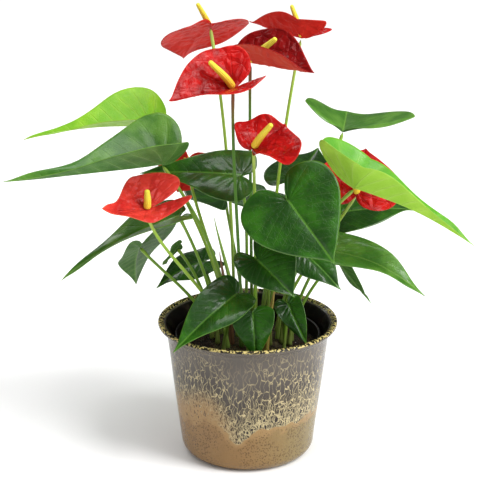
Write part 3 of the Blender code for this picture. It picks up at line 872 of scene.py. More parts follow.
@dataclass(frozen=True)
class Sheet:
    """A blade as a thin curved sheet, ready to be wrapped and given its thickness."""

    blade: Blade
    shape: Shape
    origin: Vector
    thickness: float
    seed: float
    samples: int = 44
    rings: int = 24
    side_veins: float = 8.0
    lobe_veins: float = 2.6
    vein_slope: float = 0.42
    vein_bend: float = 0.55
    rays: float = 14.0
    groove: float = 0.9 * MM
    spathe_groove: float = 0.8 * MM
    edge_calm: float = 5.0
    waves_round: float = 4.5
    fine_waves: float = 41.0
    ruffle: float = 1.8 * MM

    def axes(self) -> tuple[Vector, Vector, Vector, Vector, float]:
        """Returns the blade's base, its along, across and up directions, and its length."""
        base = self.origin + Vector(self.blade.base) * MM
        reach = Vector(self.blade.tip) * MM - Vector(self.blade.base) * MM
        along = reach.normalized()
        up = Vector(self.blade.face)
        up = (up - along * up.dot(along)).normalized()
        return base, along, up.cross(along), up, reach.length

    def phase(self, x: float, y: float) -> float:
        """Returns which side vein a place lies on, whole numbers being on a vein.

        Args:
            x: Share of the length from the base.
            y: Share of the width from the midrib.

        Returns:
            The vein's number, negative in the lobes.
        """
        start = x - self.vein_slope * y - self.vein_bend * y * y
        if start >= 0.0:
            return self.side_veins * start
        reach = math.hypot(x, y)
        first = math.atan2(y, self.vein_slope * y + self.vein_bend * y * y + WELD)
        return -self.lobe_veins * (math.atan2(y, x) - first) * min(1.0, reach / 0.05)

    def relief(self, x: float, y: float, ring: float, round_share: float) -> float:
        """Returns how far the sheet swells at a place, in metres.

        Args:
            x: Share of the length from the base.
            y: Share of the width from the midrib.
            ring: 0 at the base, 1 on the margin.
            round_share: 0 to 1 along the margin.

        Returns:
            The rise.
        """
        puff = self.blade.puff * MM
        calm = min(1.0, ring * self.edge_calm) * min(1.0, (1.0 - ring) * self.edge_calm)
        if self.shape is Shape.LEAF:
            between = abs(math.sin(math.pi * self.phase(x, y))) ** 0.8
            swell = puff * between * calm * min(1.0, y * 9.0)
            return swell - self.groove * math.exp(-((y / 0.035) ** 2)) * min(1.0, ring * 8.0) * calm
        length, width = self.axes()[4], self.blade.width * MM
        side = 1.0 if round_share >= 0.5 else -1.0
        spot = Vector((x * length * 85.0, side * y * width * 105.0, self.seed))
        near, next_near = noise.voronoi(spot)[0][:2]
        swell = 1.0 - math.exp(-3.2 * (next_near - near))
        return 1.5 * puff * swell * calm - self.spathe_groove * math.exp(-((y / 0.03) ** 2)) * calm

    def spot(self, round_share: float, ring: float) -> Spot:
        """Finds a point of the sheet.

        Args:
            round_share: From one side of the sinus (0) past the tip (0.5) to the other (1).
            ring: 0 at the base, 1 on the margin.

        Returns:
            The point.
        """
        blade = self.blade
        base, along, across, up, length = self.axes()
        width = blade.width * MM
        side = 1.0 if round_share >= 0.5 else -1.0
        x, y = smooth_curve(self.shape.value, abs(2 * round_share - 1))
        drawn_in = 1.0 - blade.point * 27 / 4 * max(x, 0.0) ** 2 * (1.0 - max(x, 0.0))
        x *= ring * (blade.lobe if x < 0 else 1.0)
        y = max(0.0, y * ring * drawn_in * (1.0 + blade.lean * side))
        tilt = math.radians(blade.fold)
        soft = math.hypot(y * width, 1.5 * MM) - 1.5 * MM
        rise = soft * math.sin(tilt) - blade.droop * width * (2 * y) ** 2
        rise += (4 * blade.arch * x * (1 - max(x, 0.0)) - blade.lift * min(x, 0.0)) * length
        rise += self.relief(x, y, ring, round_share)
        waves = math.sin(round_share * self.waves_round * math.tau + self.seed)
        waves += 0.6 * math.sin(round_share * self.fine_waves + self.seed * 2)
        tip_calm = min(1.0, abs(2 * round_share - 1) * 6.0)
        rise += blade.wave * MM * waves * ring**4 * tip_calm
        place = base + along * x * length + across * side * y * width * math.cos(tilt) + up * rise
        ruffled = noise.noise_vector(place * 24.0 + Vector((self.seed, 0, 0)))
        place += ruffled * (self.ruffle * ring * tip_calm)
        if self.shape is Shape.LEAF:
            veins = (self.phase(x, y), ring)
        else:
            veins = (round_share * self.rays, ring)
        return Spot(place, (x * length * FLAT_SCALE, side * y * width * FLAT_SCALE), veins)

    def make(self, name: str, upper: Material, lower: Material) -> bpy.types.Object:
        """Builds the sheet.

        Args:
            name: The piece's name.
            upper: Finish of its upper side and edge.
            lower: Finish of its lower side.

        Returns:
            The new object.
        """
        bm = bmesh.new()
        flat = bm.loops.layers.uv.new("flat")
        veins = bm.loops.layers.uv.new("veins")
        bmesh.ops.create_grid(bm, x_segments=2 * self.samples, y_segments=self.rings, size=0.5)
        spots = {vert: self.spot(vert.co.x + 0.5, vert.co.y + 0.5) for vert in bm.verts}
        for face in bm.faces:
            for loop in face.loops:
                loop[flat].uv = spots[loop.vert].flat
                loop[veins].uv = spots[loop.vert].veins
        for vert, spot in spots.items():
            vert.co = spot.place
        bmesh.ops.remove_doubles(bm, verts=bm.verts, dist=WELD)
        bmesh.ops.dissolve_degenerate(bm, edges=bm.edges, dist=WELD)
        bmesh.ops.recalc_face_normals(bm, faces=bm.faces)
        bm.normal_update()
        up = self.axes()[3]
        if sum(face.normal.dot(up) * face.calc_area() for face in bm.faces) < 0:
            bmesh.ops.reverse_faces(bm, faces=bm.faces)
        piece = finished(name, bm, (upper, lower))
        solid = piece.modifiers.new("thickness", "SOLIDIFY")
        solid.thickness = self.thickness
        solid.offset = 0.0
        solid.material_offset = 1
        return piece


@dataclass(frozen=True)
class Leaf:
    """A blade on its own petiole.

    Attributes:
        name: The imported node's name after "leaf_".
        foot: Where the petiole leaves the crown, (x, y).
        blade: The blade.
        tone: How light it is.
        bow: Sideways bend of the petiole, (x, y).
    """

    name: str
    foot: Flat
    blade: Blade
    tone: Tone = Tone.DARK
    bow: Flat = (0.0, 0.0)


@dataclass(frozen=True)
class Flower:
    """A stalk, its spathe and the spadix that rises from the spathe.

    Attributes:
        foot: Where the stalk leaves the crown, (x, y).
        blade: The spathe.
        spadix: The spadix's tip.
        thickness: Spadix radius against the usual one.
        tone: How light the spathe is.
        bow: Sideways bend of the stalk, (x, y).
        brown_top: Whether the stalk turns brown toward the spathe.
    """

    foot: Flat
    blade: Blade
    spadix: Point
    thickness: float = 1.0
    tone: Tone = Tone.RED
    bow: Flat = (0.0, 0.0)
    brown_top: bool = False


@dataclass(frozen=True)
class Sheath:
    """A narrow pointed sheath or a leaf still rolled."""

    name: str
    foot: Flat
    tip: Point
    radius: float


LEAVES: tuple[Leaf, ...] = (
    Leaf(
        "back_left_bright",
        (-22, 30),
        Blade((-101, 80, 205), (-226, 58, 196), (0, -0.23, 1), 94, 35, 0.05, lobe=0.45, point=0.6),
        Tone.LIGHT,
        bow=(0, 10),
    ),
    Leaf(
        "left_large",
        (-18, 2),
        Blade((-83, -10, 189), (-232, -40, 180), (0, -0.1, 1), 110, 42, lobe=0.45, lift=0.2, point=0.6),
        Tone.MIDDLE,
        bow=(18, 0),
    ),
    Leaf(
        "centre_back",
        (-2, 20),
        Blade((-8, 11, 173), (-108, 30, 169), (0, -0.57, 0.82), 66, 2, 0.04, lobe=0.4, point=0.25),
    ),
    Leaf(
        "front_heart",
        (22, -14),
        Blade((38, -70, 170), (80, -95, 117), (-0.1, -0.85, 0.5), 98, 4, 0.05, 0.04),
        bow=(0, 14),
    ),
    Leaf(
        "left_lower",
        (-30, -8),
        Blade((-68, 0, 134), (-182, -30, 77), (-0.2, -0.12, 1), 64, 14, 0.06, lobe=0.25, point=0.3),
        Tone.MIDDLE,
    ),
    Leaf(
        "left_under",
        (-36, 8),
        Blade((-108, 12, 98), (-118, 82, 33), (-0.6, 0.5, 0.62), 76, 6, 0.05, lean=-0.4),
    ),
    Leaf(
        "front_left_low",
        (-24, -30),
        Blade((-12, -50, 70), (-71, -93, 27), (0.1, -0.5, 0.85), 50, 12, 0.06, lobe=0.4),
    ),
    Leaf(
        "front_middle_low",
        (0, -38),
        Blade((5, -54, 52), (8, -66, 8), (0, -0.9, 0.35), 42, 6, 0.05, lobe=0.4),
    ),
    Leaf(
        "front_right_low",
        (36, -24),
        Blade((40, -31, 53), (58, -48, 17), (-0.2, -0.7, 0.7), 28, 12, 0.05, lobe=0.6),
    ),
    Leaf(
        "centre_low",
        (6, -30),
        Blade((10, -63, 109), (44, -81, 79), (-0.3, -0.6, 0.7), 62, 6, 0.05, lobe=1.2, lean=0.3),
    ),
    Leaf(
        "right_bright",
        (34, -6),
        Blade(
            (101, -40, 174),
            (212, -70, 127),
            (0.3, 0.17, 0.9),
            74,
            47,
            arch=0.05,
            lobe=1.1,
            lift=0.5,
            point=0.4,
            lean=0.1,
        ),
        Tone.FRESH,
        bow=(-20, 8),
    ),
    Leaf(
        "top_right",
        (38, 14),
        Blade((94, 40, 210), (102, 104, 215), (0.22, 0, 1), 122, 27, lobe=0.3, lean=-0.2),
        Tone.MIDDLE,
    ),
    Leaf("right_far", (30, 26), Blade((82, 60, 117), (173, 80, 116), (0, -0.4, 0.9), 74, 6, 0.06)),
    Leaf(
        "right_low",
        (42, -10),
        Blade((75, -15, 104), (173, -35, 63), (-0.1, -0.35, 0.9), 48, 12, 0.12, lobe=0.3, lean=0.1),
        Tone.MIDDLE,
    ),
    Leaf(
        "right_narrow",
        (44, 2),
        Blade((89, 30, 80), (125, 20, 36), (0.6, 0.5, 0.6), 30, 14, lobe=0.6),
    ),
    Leaf(
        "centre_right_back",
        (14, 24),
        Blade((50, 70, 154), (74, 125, 171), (-0.2, -0.5, 0.8), 70, 4),
    ),
    Leaf(
        "centre_right_low",
        (38, -8),
        Blade((52, -45, 114), (89, -63, 80), (-0.1, -0.6, 0.8), 44, 6, 0.05, lobe=0.4),
    ),
    Leaf(
        "back_left_low",
        (-28, 20),
        Blade((-48, 65, 64), (-95, 50, 40), (-0.1, -0.4, 0.9), 44, 4, 0.1),
    ),
    Leaf("left_small", (-36, 16), Blade((-72, 32, 90), (-86, 20, 76), (-0.3, 0.6, 0.7), 26, 4)),
    Leaf(
        "rear_right",
        (14, 38),
        Blade((34, 108, 112), (52, 190, 95), (0.1, 0.3, 0.9), 76, 10, 0.08, lobe=0.6),
    ),
    Leaf(
        "rear_left",
        (-4, 42),
        Blade((-24, 95, 125), (-54, 180, 110), (-0.1, 0.3, 0.9), 86, 12, 0.08),
    ),
)

FLOWERS: tuple[Flower, ...] = (
    Flower(
        (-14, 38),
        Blade((-38, 64, 310), (-67, 114, 268), (-0.38, 0.6, 0.75), 90, 4, 0.04, 0.06, 0.75),
        (-50, 56, 334),
        0.8,
        bow=(0, 8),
    ),
    Flower(
        (-6, -20),
        Blade((-14, -30, 268), (-73, -60, 263), (0, -0.45, 0.9), 86, 36, lobe=1.1, lift=0.4, point=0.1),
        (-36, -41, 296),
        bow=(0, -6),
        brown_top=True,
    ),
    Flower(
        (4, 37),
        Blade((2, 38, 279), (63, -2, 277), (0, 0.05, 1), 68, 50, lobe=1.1, lean=0.2),
        (27, 28, 305),
        tone=Tone.MAROON,
        bow=(0, 14),
        brown_top=True,
    ),
    Flower(
        (20, 10),
        Blade((52, 55, 300), (1, 88, 311), (0.1, 0.35, 0.95), 46, 40, lobe=1.3, lift=0.5, lean=0.15),
        (42, 60, 332),
        0.8,
    ),
    Flower(
        (8, -14),
        Blade((5, -34, 212), (36, -12, 230), (-0.1, -0.6, 0.75), 84, 28, lobe=0.6, lean=-0.35, wave=4.5),
        (22, -46, 238),
    ),
    Flower(
        (-20, 12),
        Blade((-61, 48, 176), (-72, 66, 139), (0.1, 0.85, 0.5), 58, 6, lobe=1.3),
        (-69, 48, 194),
        0.9,
    ),
    Flower(
        (-20, -20),
        Blade(
            (-96, -45, 155),
            (-135, -80, 166),
            (0.25, -0.5, 0.83),
            54,
            14,
            -0.06,
            lobe=2.0,
            lift=0.45,
            point=0.6,
            lean=-0.3,
        ),
        (-95, -50, 175),
        1.0,
        Tone.CORAL,
    ),
    Flower((30, 3), Blade((107, 12, 154), (117, 38, 193), (0.1, -0.75, 0.6), 84, 8), (103, 4, 184)),
)


SHEATHS: tuple[Sheath, ...] = (
    Sheath("brown", (-16, -12), (-28, -16, 104), 2.6),
    Sheath("tan", (18, -30), (26, -36, 72), 3.0),
    Sheath("new_leaf", (-10, 10), (-34, 20, 128), 2.4),
)


@dataclass(frozen=True)
class CoverPot:
    """The glazed cover pot: a tapered body with a rounded foot and a flared, rolled lip.

    The run glaze ends on a level line with bumps in it, each a rise in millimetres, its angle from the
    front and its spread, and with a slower wave round the back.
    """

    wall: float = 5 * MM
    floor: float = 7 * MM
    foot_round: float = 12 * MM
    lip_reach: float = 7 * MM
    lip_height: float = 12 * MM
    base_share: float = 66 / 83
    foot_recess: float = 1.2 * MM
    line: float = 50 * MM
    steps: int = 160
    seat: float = 5 * MM
    bumps: tuple[Point, ...] = ((-17, -0.15, 0.20), (8, -0.58, 0.30), (-15, 2.35, 0.16), (-15, -2.35, 0.16))
    back_rise: float = 9.0

    def glaze_line(self, angle: float) -> float:
        """Returns the height where the run glaze ends, at an angle from the front."""
        bumps = sum(rise * math.exp(-(((angle - at) / spread) ** 2)) for rise, at, spread in self.bumps)
        back = self.back_rise * math.sin(2.0 * angle + 0.6) * (0.5 - 0.5 * math.cos(angle))
        return self.line + (bumps + back) * MM

    def profile(self, height: float, body: float) -> tuple[list[Flat], int]:
        """Makes the pot's profile.

        Args:
            height: The pot's height.
            body: The body's outer radius under its lip.

        Returns:
            The (radius, height) points from the axis under the foot round to the axis inside, and the
            number of the point that the inside starts at.
        """
        base = body * self.base_share

        def side(z: float) -> float:
            """Returns the body's outer radius at a height."""
            return base + (body - base) * z / height

        foot_x = side(self.foot_round) - self.foot_round
        ring = foot_x - self.seat
        slope = math.degrees(math.atan((body - base) / height))
        points = [(0.0, self.foot_recess), (ring - 2 * MM, self.foot_recess), (ring, 0.0)]
        points += arc((foot_x, self.foot_round), self.foot_round, -90, -slope, 10)
        neck = height - self.lip_height
        rise = neck - self.foot_round
        heights = [self.foot_round + rise * i / 24 for i in range(1, 25)]
        points += [(side(z), z) for z in heights]
        half = self.wall / 2
        lip_x = body + self.lip_reach - half
        lip_z = height - half
        start = arc((lip_x, lip_z), half, -38, -38, 1)[0]
        for i in range(1, 7):
            share = i / 7
            flare = (start[0] - side(neck)) * share**1.4
            points.append((side(neck) + flare, neck + (start[1] - neck) * share))
        points += arc((lip_x, lip_z), half, -38, 150, 12)
        inside_from = len(points)
        end = points[-1]
        inner_z = neck - self.lip_height / 4
        inner_x = side(inner_z) - self.wall
        for i in range(1, 7):
            share = i / 7
            points.append((end[0] + (inner_x - end[0]) * share**0.6, end[1] + (inner_z - end[1]) * share))
        points.append((inner_x, inner_z))
        corner = self.foot_round / 2
        inner_foot = side(self.floor) - self.wall
        points += arc((inner_foot - corner, self.floor + corner), corner, 0, -90, 5)
        points.append((0.0, self.floor))
        return points, inside_from

    def build(self) -> None:
        """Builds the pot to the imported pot's own height and width."""
        low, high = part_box("ceramic_pot")
        body = (high.x - low.x) / 2 - self.lip_reach
        points, inside_from = self.profile(high.z, body)
        bm = turned(points, self.steps)
        line = bm.verts.layers.float.new("glaze_line")
        edge = points[inside_from - 1]
        inner = set()
        for vert in bm.verts:
            radius = math.hypot(vert.co.x, vert.co.y)
            angle = math.atan2(vert.co.x, -vert.co.y)
            vert[line] = self.glaze_line(angle)
            wall = body * (self.base_share + (1 - self.base_share) * vert.co.z / high.z)
            in_lip = max(0.0, (vert.co.z - high.z + self.lip_height) / self.lip_height)
            within = radius < wall - self.wall / 2 + (edge[0] - WELD - wall + self.wall / 2) * in_lip
            if within and vert.co.z > self.floor - MM:
                inner.add(vert)
            swell = noise.noise(vert.co * 16.0) * 0.5 * MM * min(1.0, radius / 0.05)
            if vert.co.z > 4 * MM:
                outward = Vector((vert.co.x, vert.co.y, 0.0))
                if outward.length > MM:
                    vert.co += outward.normalized() * swell
        # Faces inside the pot take the near-black glaze, painted shade for the dark inside.
        for face in bm.faces:
            face.material_index = int(inner.issuperset(face.verts))
        pot = finished("glazed_pot", bm, (CrackleGlaze(high.z).material(), InsidePaintedShadeGlaze().material()))
        hang(pot, "crackle_glaze", "ceramic_pot")


@dataclass(frozen=True)
class NurseryPot:
    """The thin nursery pot inside, with a rolled rim."""

    wall: float = 1.6 * MM
    bead: float = 1.5 * MM
    taper: float = 0.82
    chamfer: float = 2 * MM
    under_rim: float = 6 * MM
    steps: int = 96

    def build(self) -> None:
        """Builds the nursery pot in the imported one's place."""
        low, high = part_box("nursery_pot")
        rim = high.x - self.bead * 0.2
        foot = self.taper * rim
        side, start = rim - self.bead - foot, low.z + self.chamfer
        rise = high.z - self.under_rim - start
        points = [(0.0, low.z), (foot - self.chamfer, low.z), (foot, start)]
        points += [(foot + side * i / 8, start + rise * i / 8) for i in range(1, 9)]
        points += arc((rim - self.bead, high.z - self.bead), self.bead, -70, 160, 9)
        points += [
            (rim - 2 * self.bead - 0.4 * MM, high.z - 4 * MM),
            (foot - self.wall, low.z + self.wall),
            (0.0, low.z + self.wall),
        ]
        pot = finished("moulded_pot", turned(points, self.steps), (MouldedPlastic().material(),))
        hang(pot, "black_plastic", "nursery_pot")


@dataclass(frozen=True)
class SoilBed:
    """Peat with bark chips and perlite, heaped a little against the crown."""

    rings: int = 34
    steps: int = 110
    crumbs: int = 620
    seed: int = 11

    def height(self, x: float, y: float, top: float) -> float:
        """Returns the soil's height at a place."""
        spot = Vector((x, y, 0.0))
        lumps = noise.fractal(spot * 55.0, 0.8, 2.0, 4) * 1.6 * MM
        return top + lumps + 0.8 * MM * math.cos(min(math.pi, math.hypot(x, y) * 42.0))

    def build(self) -> None:
        """Builds the bed, its crumbs and the crown."""
        low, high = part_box("potting_soil")
        radius = high.x
        points = [(0.0, high.z)]
        points += [(radius * i / self.rings, high.z) for i in range(1, self.rings + 1)]
        points += [(radius - 3 * MM, (low.z + high.z) / 2), (radius * 0.93, low.z), (0.0, low.z)]
        bm = turned(points, self.steps)
        for vert in bm.verts:
            if vert.co.z > high.z - WELD:
                vert.co.z = self.height(vert.co.x, vert.co.y, high.z)
        peat = Crumbly("peat_soil", (0.022, 0.014, 0.009), (0.055, 0.034, 0.02), 2.2 * MM, 0.0014)
        hang(finished("soil_bed", bm, (peat.material(),)), "peat_soil", "potting_soil")
        self.build_crumbs(high.z, radius)
        self.build_crown()

    def build_crumbs(self, top: float, radius: float) -> None:
        """Scatters bark chips and perlite over the soil.

        Args:
            top: The soil's height.
            radius: The soil's radius.
        """
        picks = random.Random(self.seed)
        bark = Crumbly("bark_chip", (0.06, 0.03, 0.014), (0.13, 0.075, 0.035), 1.5 * MM)
        perlite = Crumbly("perlite", (0.55, 0.52, 0.46), (0.75, 0.73, 0.68), 0.8 * MM)
        kinds = (("bark_chips", bark, 1.0, 3.2, 0.86), ("perlite_grains", perlite, 0.7, 1.5, 0.14))
        for name, finish, smallest, largest, share in kinds:
            bm = bmesh.new()
            for _ in range(int(self.crumbs * share)):
                made = bmesh.ops.create_icosphere(bm, subdivisions=1, radius=1.0)["verts"]
                size = picks.uniform(smallest, largest) * MM / 2
                stretch = Vector((picks.uniform(0.8, 1.9), picks.uniform(0.7, 1.2), picks.uniform(0.35, 0.8)))
                turn = picks.uniform(0.0, math.tau)
                reach = (radius - 4 * MM) * math.sqrt(picks.random())
                x, y = reach * math.cos(turn * 7.0), reach * math.sin(turn * 7.0)
                z = self.height(x, y, top) + size * 0.2
                for vert in made:
                    bent = Vector(vert.co[i] * stretch[i] * size * picks.uniform(0.8, 1.15) for i in range(3))
                    bent = Vector(
                        (
                            bent.x * math.cos(turn) - bent.y * math.sin(turn),
                            bent.x * math.sin(turn) + bent.y * math.cos(turn),
                            bent.z + bent.x * 0.3,
                        )
                    )
                    vert.co = bent + Vector((x, y, z))
            hang(finished(name, bm, (finish.material(),)), "peat_soil")

    def build_crown(self) -> None:
        """Builds the rough crown that the stalks leave."""
        low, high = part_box("crown")
        centre = (low + high) / 2
        radius = (high.x - low.x) / 2
        top = high.z - low.z
        points = [(0.0, low.z + top)]
        for i in range(1, 25):
            share = i / 24
            points.append((radius * share, low.z + top * math.sqrt(max(0.0, 1.0 - share**3))))
        points += [(radius * 0.9, low.z - 2 * MM), (0.0, low.z - 2 * MM)]
        bm = turned(points, 72, (centre.x, centre.y))
        for vert in bm.verts:
            if vert.co.z > low.z - MM:
                lumps = noise.fractal(vert.co * 90.0, 0.7, 2.0, 4)
                vert.co.z += (2.2 * lumps - 1.2) * MM
        bark = Crumbly("crown_bark", (0.035, 0.024, 0.012), (0.09, 0.075, 0.03), 2.6 * MM, 0.0014)
        hang(finished("crown_mound", bm, (bark.material(),)), "crown_bark", "crown")


@dataclass(frozen=True)
class Plant:
    """The leaves, flowers and sheaths, all growing from the crown."""

    leaf_thickness: float = 0.6 * MM
    spathe_thickness: float = 0.7 * MM
    petiole: float = 1.5 * MM
    stalk: float = 1.5 * MM
    spadix: float = 3.7 * MM
    upright: float = 0.35
    arrival: float = 0.3
    stalk_drop: float = 1.15 * MM
    foot_swell: float = 0.75
    foot_reach: float = 0.07
    joint_place: float = 0.955
    joint_reach: float = 0.035
    spadix_ends: Flat = (0.10, 0.07)
    spadix_taper: float = 0.38
    buds_round: float = 11.0
    buds_along: float = 60.0
    bud_relief: float = 0.035

    def origin(self) -> Vector:
        """Returns the middle of the soil's surface."""
        return Vector((0.0, 0.0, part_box("potting_soil")[1].z))

    def stalk_path(self, foot: Flat, bow: Flat, end: Vector, arrival: Vector) -> Path:
        """Leads a stalk up from the crown.

        Args:
            foot: Where it leaves the crown, in millimetres.
            bow: Its sideways bend, in millimetres.
            end: Where it ends.
            arrival: The direction in which it gets there.

        Returns:
            The path.
        """
        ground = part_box("crown")[1].z + 0.3 * MM
        start = Vector((foot[0] * MM, foot[1] * MM, ground))
        reach = end - start
        leave = start + Vector((0.0, 0.0, reach.z * self.upright))
        arrive = end - arrival.normalized() * reach.length * self.arrival + Vector((*bow, 0.0)) * MM
        return Path(start - Vector((0.0, 0.0, 5 * MM)), leave, arrive, end)

    def stalk_radius(self, radius: float, joint: float) -> Callable[[float, float], float]:
        """Returns the radius along a stalk: sheathed at its foot, and swollen at its joint with the blade."""

        def at(along: float, turn: float) -> float:
            """Returns the radius at a share of the way along and of the turn."""
            foot = 1.0 + self.foot_swell * math.exp(-((along / self.foot_reach) ** 2)) + 0.15 * (1.0 - along)
            swollen = 1.0 + joint * math.exp(-(((along - self.joint_place) / self.joint_reach) ** 2))
            rounded = min(1.0, math.sqrt(max(0.0, (1.0 - along) / 0.012)))
            rib = 1.0 + 0.03 * math.cos(3 * turn * math.tau)
            return radius * foot * swollen * rounded * rib

        return at

    def build_leaf(self, leaf: Leaf, number: int, faces: Faces, skin: Material) -> None:
        """Builds one leaf.

        Args:
            leaf: Its plan.
            number: Its number, which varies its waves.
            faces: Its upper and lower finish.
            skin: Its petiole's finish.
        """
        node = "leaf_" + leaf.name
        slot = "leaf_light_green" if leaf.tone in (Tone.LIGHT, Tone.FRESH) else "leaf_dark_green"
        sheet = Sheet(leaf.blade, Shape.LEAF, self.origin(), self.leaf_thickness, number * 1.7)
        hang(sheet.make("blade_" + leaf.name, *faces), slot, node)
        base, along, _, up, _ = sheet.axes()
        foot = self.origin() + Vector((*leaf.foot, 0.0)) * MM
        heading = (base - foot).normalized() + up * 0.5 + along * 0.2
        path = self.stalk_path(leaf.foot, leaf.bow, base - up * 0.9 * MM, heading)
        bm = tube(path, self.stalk_radius(self.petiole, 0.22), 48, 12)
        hang(finished("petiole_" + leaf.name, bm, (skin,)), slot, node)

    def build_flower(self, flower: Flower, number: int, faces: Faces, skins: Faces) -> None:
        """Builds one flower.

        Args:
            flower: Its plan.
            number: Its number.
            faces: Its spathe's upper and lower finish.
            skins: Its stalk's and its spadix's finish.
        """
        seed = number * 2.3 + 5
        sheet = Sheet(
            flower.blade, Shape.SPATHE, self.origin(), self.spathe_thickness, seed, samples=52, rings=34
        )
        slot = "spathe_coral" if flower.tone is Tone.CORAL else "spathe_red"
        hang(sheet.make(f"bract_{number}", *faces), slot, f"spathe_{number}")
        base, _, _, up, _ = sheet.axes()
        foot = self.origin() + Vector((*flower.foot, 0.0)) * MM
        arrival = (base - foot).normalized() + up * 0.6
        path = self.stalk_path(flower.foot, flower.bow, base - up * self.stalk_drop, arrival)
        bm = tube(path, self.stalk_radius(self.stalk, 0.15), 60, 12)
        hang(finished(f"scape_{number}", bm, skins[:1]), "stalk_green", f"flower_stalk_{number}")
        tip = self.origin() + Vector(flower.spadix) * MM
        start = base + up * 0.3 * MM
        lean = tip - start
        rod = Path(start, start + lean * 0.3 + up * lean.length * 0.12, tip - lean * 0.3, tip)
        thick = self.spadix * flower.thickness

        def girth(along: float, turn: float) -> float:
            """Returns the spadix's radius, knobbly and rounded at both ends."""
            heel, nose = self.spadix_ends
            low = math.sqrt(1.0 - (1.0 - min(1.0, along / heel)) ** 2)
            high = math.sqrt(1.0 - (1.0 - min(1.0, (1.0 - along) / nose)) ** 2)
            taper = 1.0 - self.spadix_taper * along + 0.06 * math.sin(math.pi * along)
            around, up_it = self.buds_round * turn * math.tau, self.buds_along * along
            buds = self.bud_relief * math.sin(around + up_it) * math.sin(around - up_it)
            return thick * taper * max(0.35, low) * high * (1.0 + buds)

        bm = tube(rod, girth, 70, 36)
        hang(finished(f"spadix_rod_{number}", bm, skins[1:]), "spadix_yellow", f"spadix_{number}")

    def build_sheath(self, sheath: Sheath, finish: Material) -> None:
        """Builds one sheath or rolled leaf.

        Args:
            sheath: Its plan.
            finish: Its finish.
        """
        tip = self.origin() + Vector(sheath.tip) * MM
        foot = self.origin() + Vector((*sheath.foot, 0.0)) * MM
        path = self.stalk_path(sheath.foot, (0.0, 0.0), tip, tip - foot)

        def girth(along: float, turn: float) -> float:
            """Returns the sheath's radius, creased along one side."""
            fold = 1.0 - 0.45 * math.exp(-(((turn - 0.5) / 0.09) ** 2))
            belly = 1.0 + 0.25 * math.sin(math.pi * along)
            return sheath.radius * MM * fold * (1.0 - along) ** 0.55 * belly

        bm = tube(path, girth, 40, 24)
        hang(finished("husk_" + sheath.name, bm, (finish,)), "sheath_brown", "sheath_" + sheath.name)

    def build(self) -> None:
        """Builds the whole plant."""
        green, bright, brown, yellow = (
            skin.material() for skin in (PETIOLE_SKIN, SCAPE_SKIN, BROWN_SCAPE_SKIN, SPADIX_SKIN)
        )
        leaves = made_faces(LEAF_FACES)
        for number, leaf in enumerate(LEAVES):
            self.build_leaf(leaf, number, leaves[leaf.tone], bright if leaf.tone is Tone.LIGHT else green)
        spathes = made_faces(SPATHE_FACES)
        for number, flower in enumerate(FLOWERS, 1):
            stalk = brown if flower.brown_top else bright
            self.build_flower(flower, number, spathes[flower.tone], (stalk, yellow))
        for sheath in SHEATHS:
            self.build_sheath(sheath, HUSKS[sheath.name].material())


def facing(place: Vector, target: Vector) -> Euler:
    """Returns the turn that makes a lamp or a camera at a place look at a target."""
    return (target - place).to_track_quat("-Z", "Y").to_euler()


@dataclass(frozen=True)
class Lamp:
    """A soft square lamp: where it stands, its side in metres and its power in watts."""

    name: str
    place: Point
    side: float
    power: float


LAMPS: tuple[Lamp, ...] = (
    Lamp("side_light", (1.6, -0.9, 0.9), 0.9, 14.0),
    Lamp("back_light", (-0.8, 1.5, 1.3), 1.0, 9.0),
    Lamp("overhead", (0.15, -0.15, 1.9), 0.8, 11.0),
)


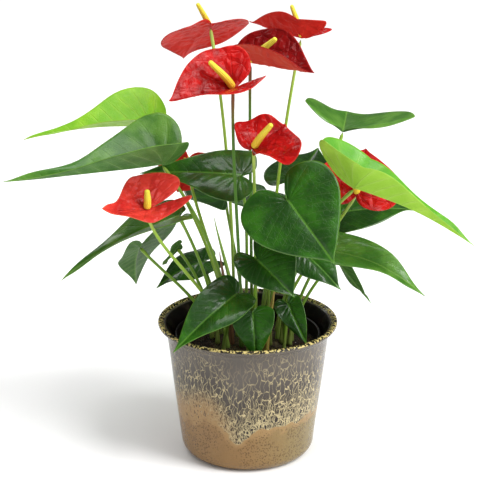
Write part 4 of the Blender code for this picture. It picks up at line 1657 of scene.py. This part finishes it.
@dataclass(frozen=True)
class Studio:
    """A pale floor, soft lights and the camera."""

    camera: Point = (0.0, -1.4, 0.67746)
    aim: Point = (-0.0093, 0.0, 0.22136)
    lens: float = 111.95
    sensor: float = 36.0
    floor_side: float = 40.0
    floor_drop: float = 0.2 * MM
    surround: float = 0.6
    surround_in_gloss: float = 0.06
    key_from: Point = (1.1, -0.55, 1.5)
    key_to: Point = (0.0, 0.0, 0.1)
    key_power: float = 2.2
    key_spread: float = 28.0
    lamps_aim: Point = (0.0, 0.0, 0.25)

    def place(self, name: str, data: bpy.types.ID, place: Point, target: Point) -> bpy.types.Object:
        """Stands a lamp or a camera in the scene.

        Args:
            name: Its name.
            data: Its light or camera.
            place: Where it stands.
            target: What it faces.

        Returns:
            The new object.
        """
        stood = bpy.data.objects.new(name, data)
        stood.location = place
        stood.rotation_euler = facing(Vector(place), Vector(target))
        bpy.context.scene.collection.objects.link(stood)
        return stood

    def build_floor(self) -> None:
        """Builds the floor, just clear of the pot's foot."""
        bm = bmesh.new()
        bmesh.ops.create_grid(bm, x_segments=1, y_segments=1, size=self.floor_side / 2)
        bmesh.ops.translate(bm, verts=bm.verts, vec=(0.0, 0.0, -self.floor_drop))
        paper = Recipe("pale_floor")
        tint = paper.blend(paper.noise(paper.object_place(), 3.0), (0.93, 0.93, 0.93), (0.95, 0.95, 0.95))
        paper.surface(tint, 0.8, Specular_IOR_Level=0.1)
        finished("studio_floor", bm, (paper.material,))

    def build_surround(self) -> None:
        """Lights the scene evenly with white, much fainter in what is mirrored."""
        world = bpy.data.worlds.new("studio")
        world.use_nodes = True
        nodes, links = world.node_tree.nodes, world.node_tree.links
        backdrop = nodes["Background"]
        backdrop.inputs["Color"].default_value = (1.0, 1.0, 1.0, 1.0)
        mirrored = nodes.new("ShaderNodeMapRange")
        mirrored.inputs["To Min"].default_value = self.surround
        mirrored.inputs["To Max"].default_value = self.surround_in_gloss
        links.new(nodes.new("ShaderNodeLightPath").outputs["Is Glossy Ray"], mirrored.inputs["Value"])
        links.new(mirrored.outputs["Result"], backdrop.inputs["Strength"])
        bpy.context.scene.world = world

    def build(self) -> None:
        """Builds the floor, the lights and the camera."""
        self.build_floor()
        self.build_surround()
        sun = bpy.data.lights.new("key", "SUN")
        sun.energy = self.key_power
        sun.angle = math.radians(self.key_spread)
        self.place("key", sun, self.key_from, self.key_to)
        for lamp in LAMPS:
            light = bpy.data.lights.new(lamp.name, "AREA")
            light.size = lamp.side
            light.energy = lamp.power
            self.place(lamp.name, light, lamp.place, self.lamps_aim)
        camera = bpy.data.cameras.new("camera")
        camera.lens = self.lens
        camera.sensor_width = self.sensor
        camera.clip_start = 0.05
        bpy.context.scene.camera = self.place("camera", camera, self.camera, self.aim)
        bpy.context.scene.view_settings.view_transform = "Standard"


def main() -> None:
    """Builds the object and its studio."""
    logging.basicConfig(level=logging.INFO, format="%(name)s: %(message)s")
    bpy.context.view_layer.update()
    noise.seed_set(RUFFLE_SEED)
    CoverPot().build()
    NurseryPot().build()
    SoilBed().build()
    Plant().build()
    Studio().build()
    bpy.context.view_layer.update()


if __name__ == "__main__":
    main()
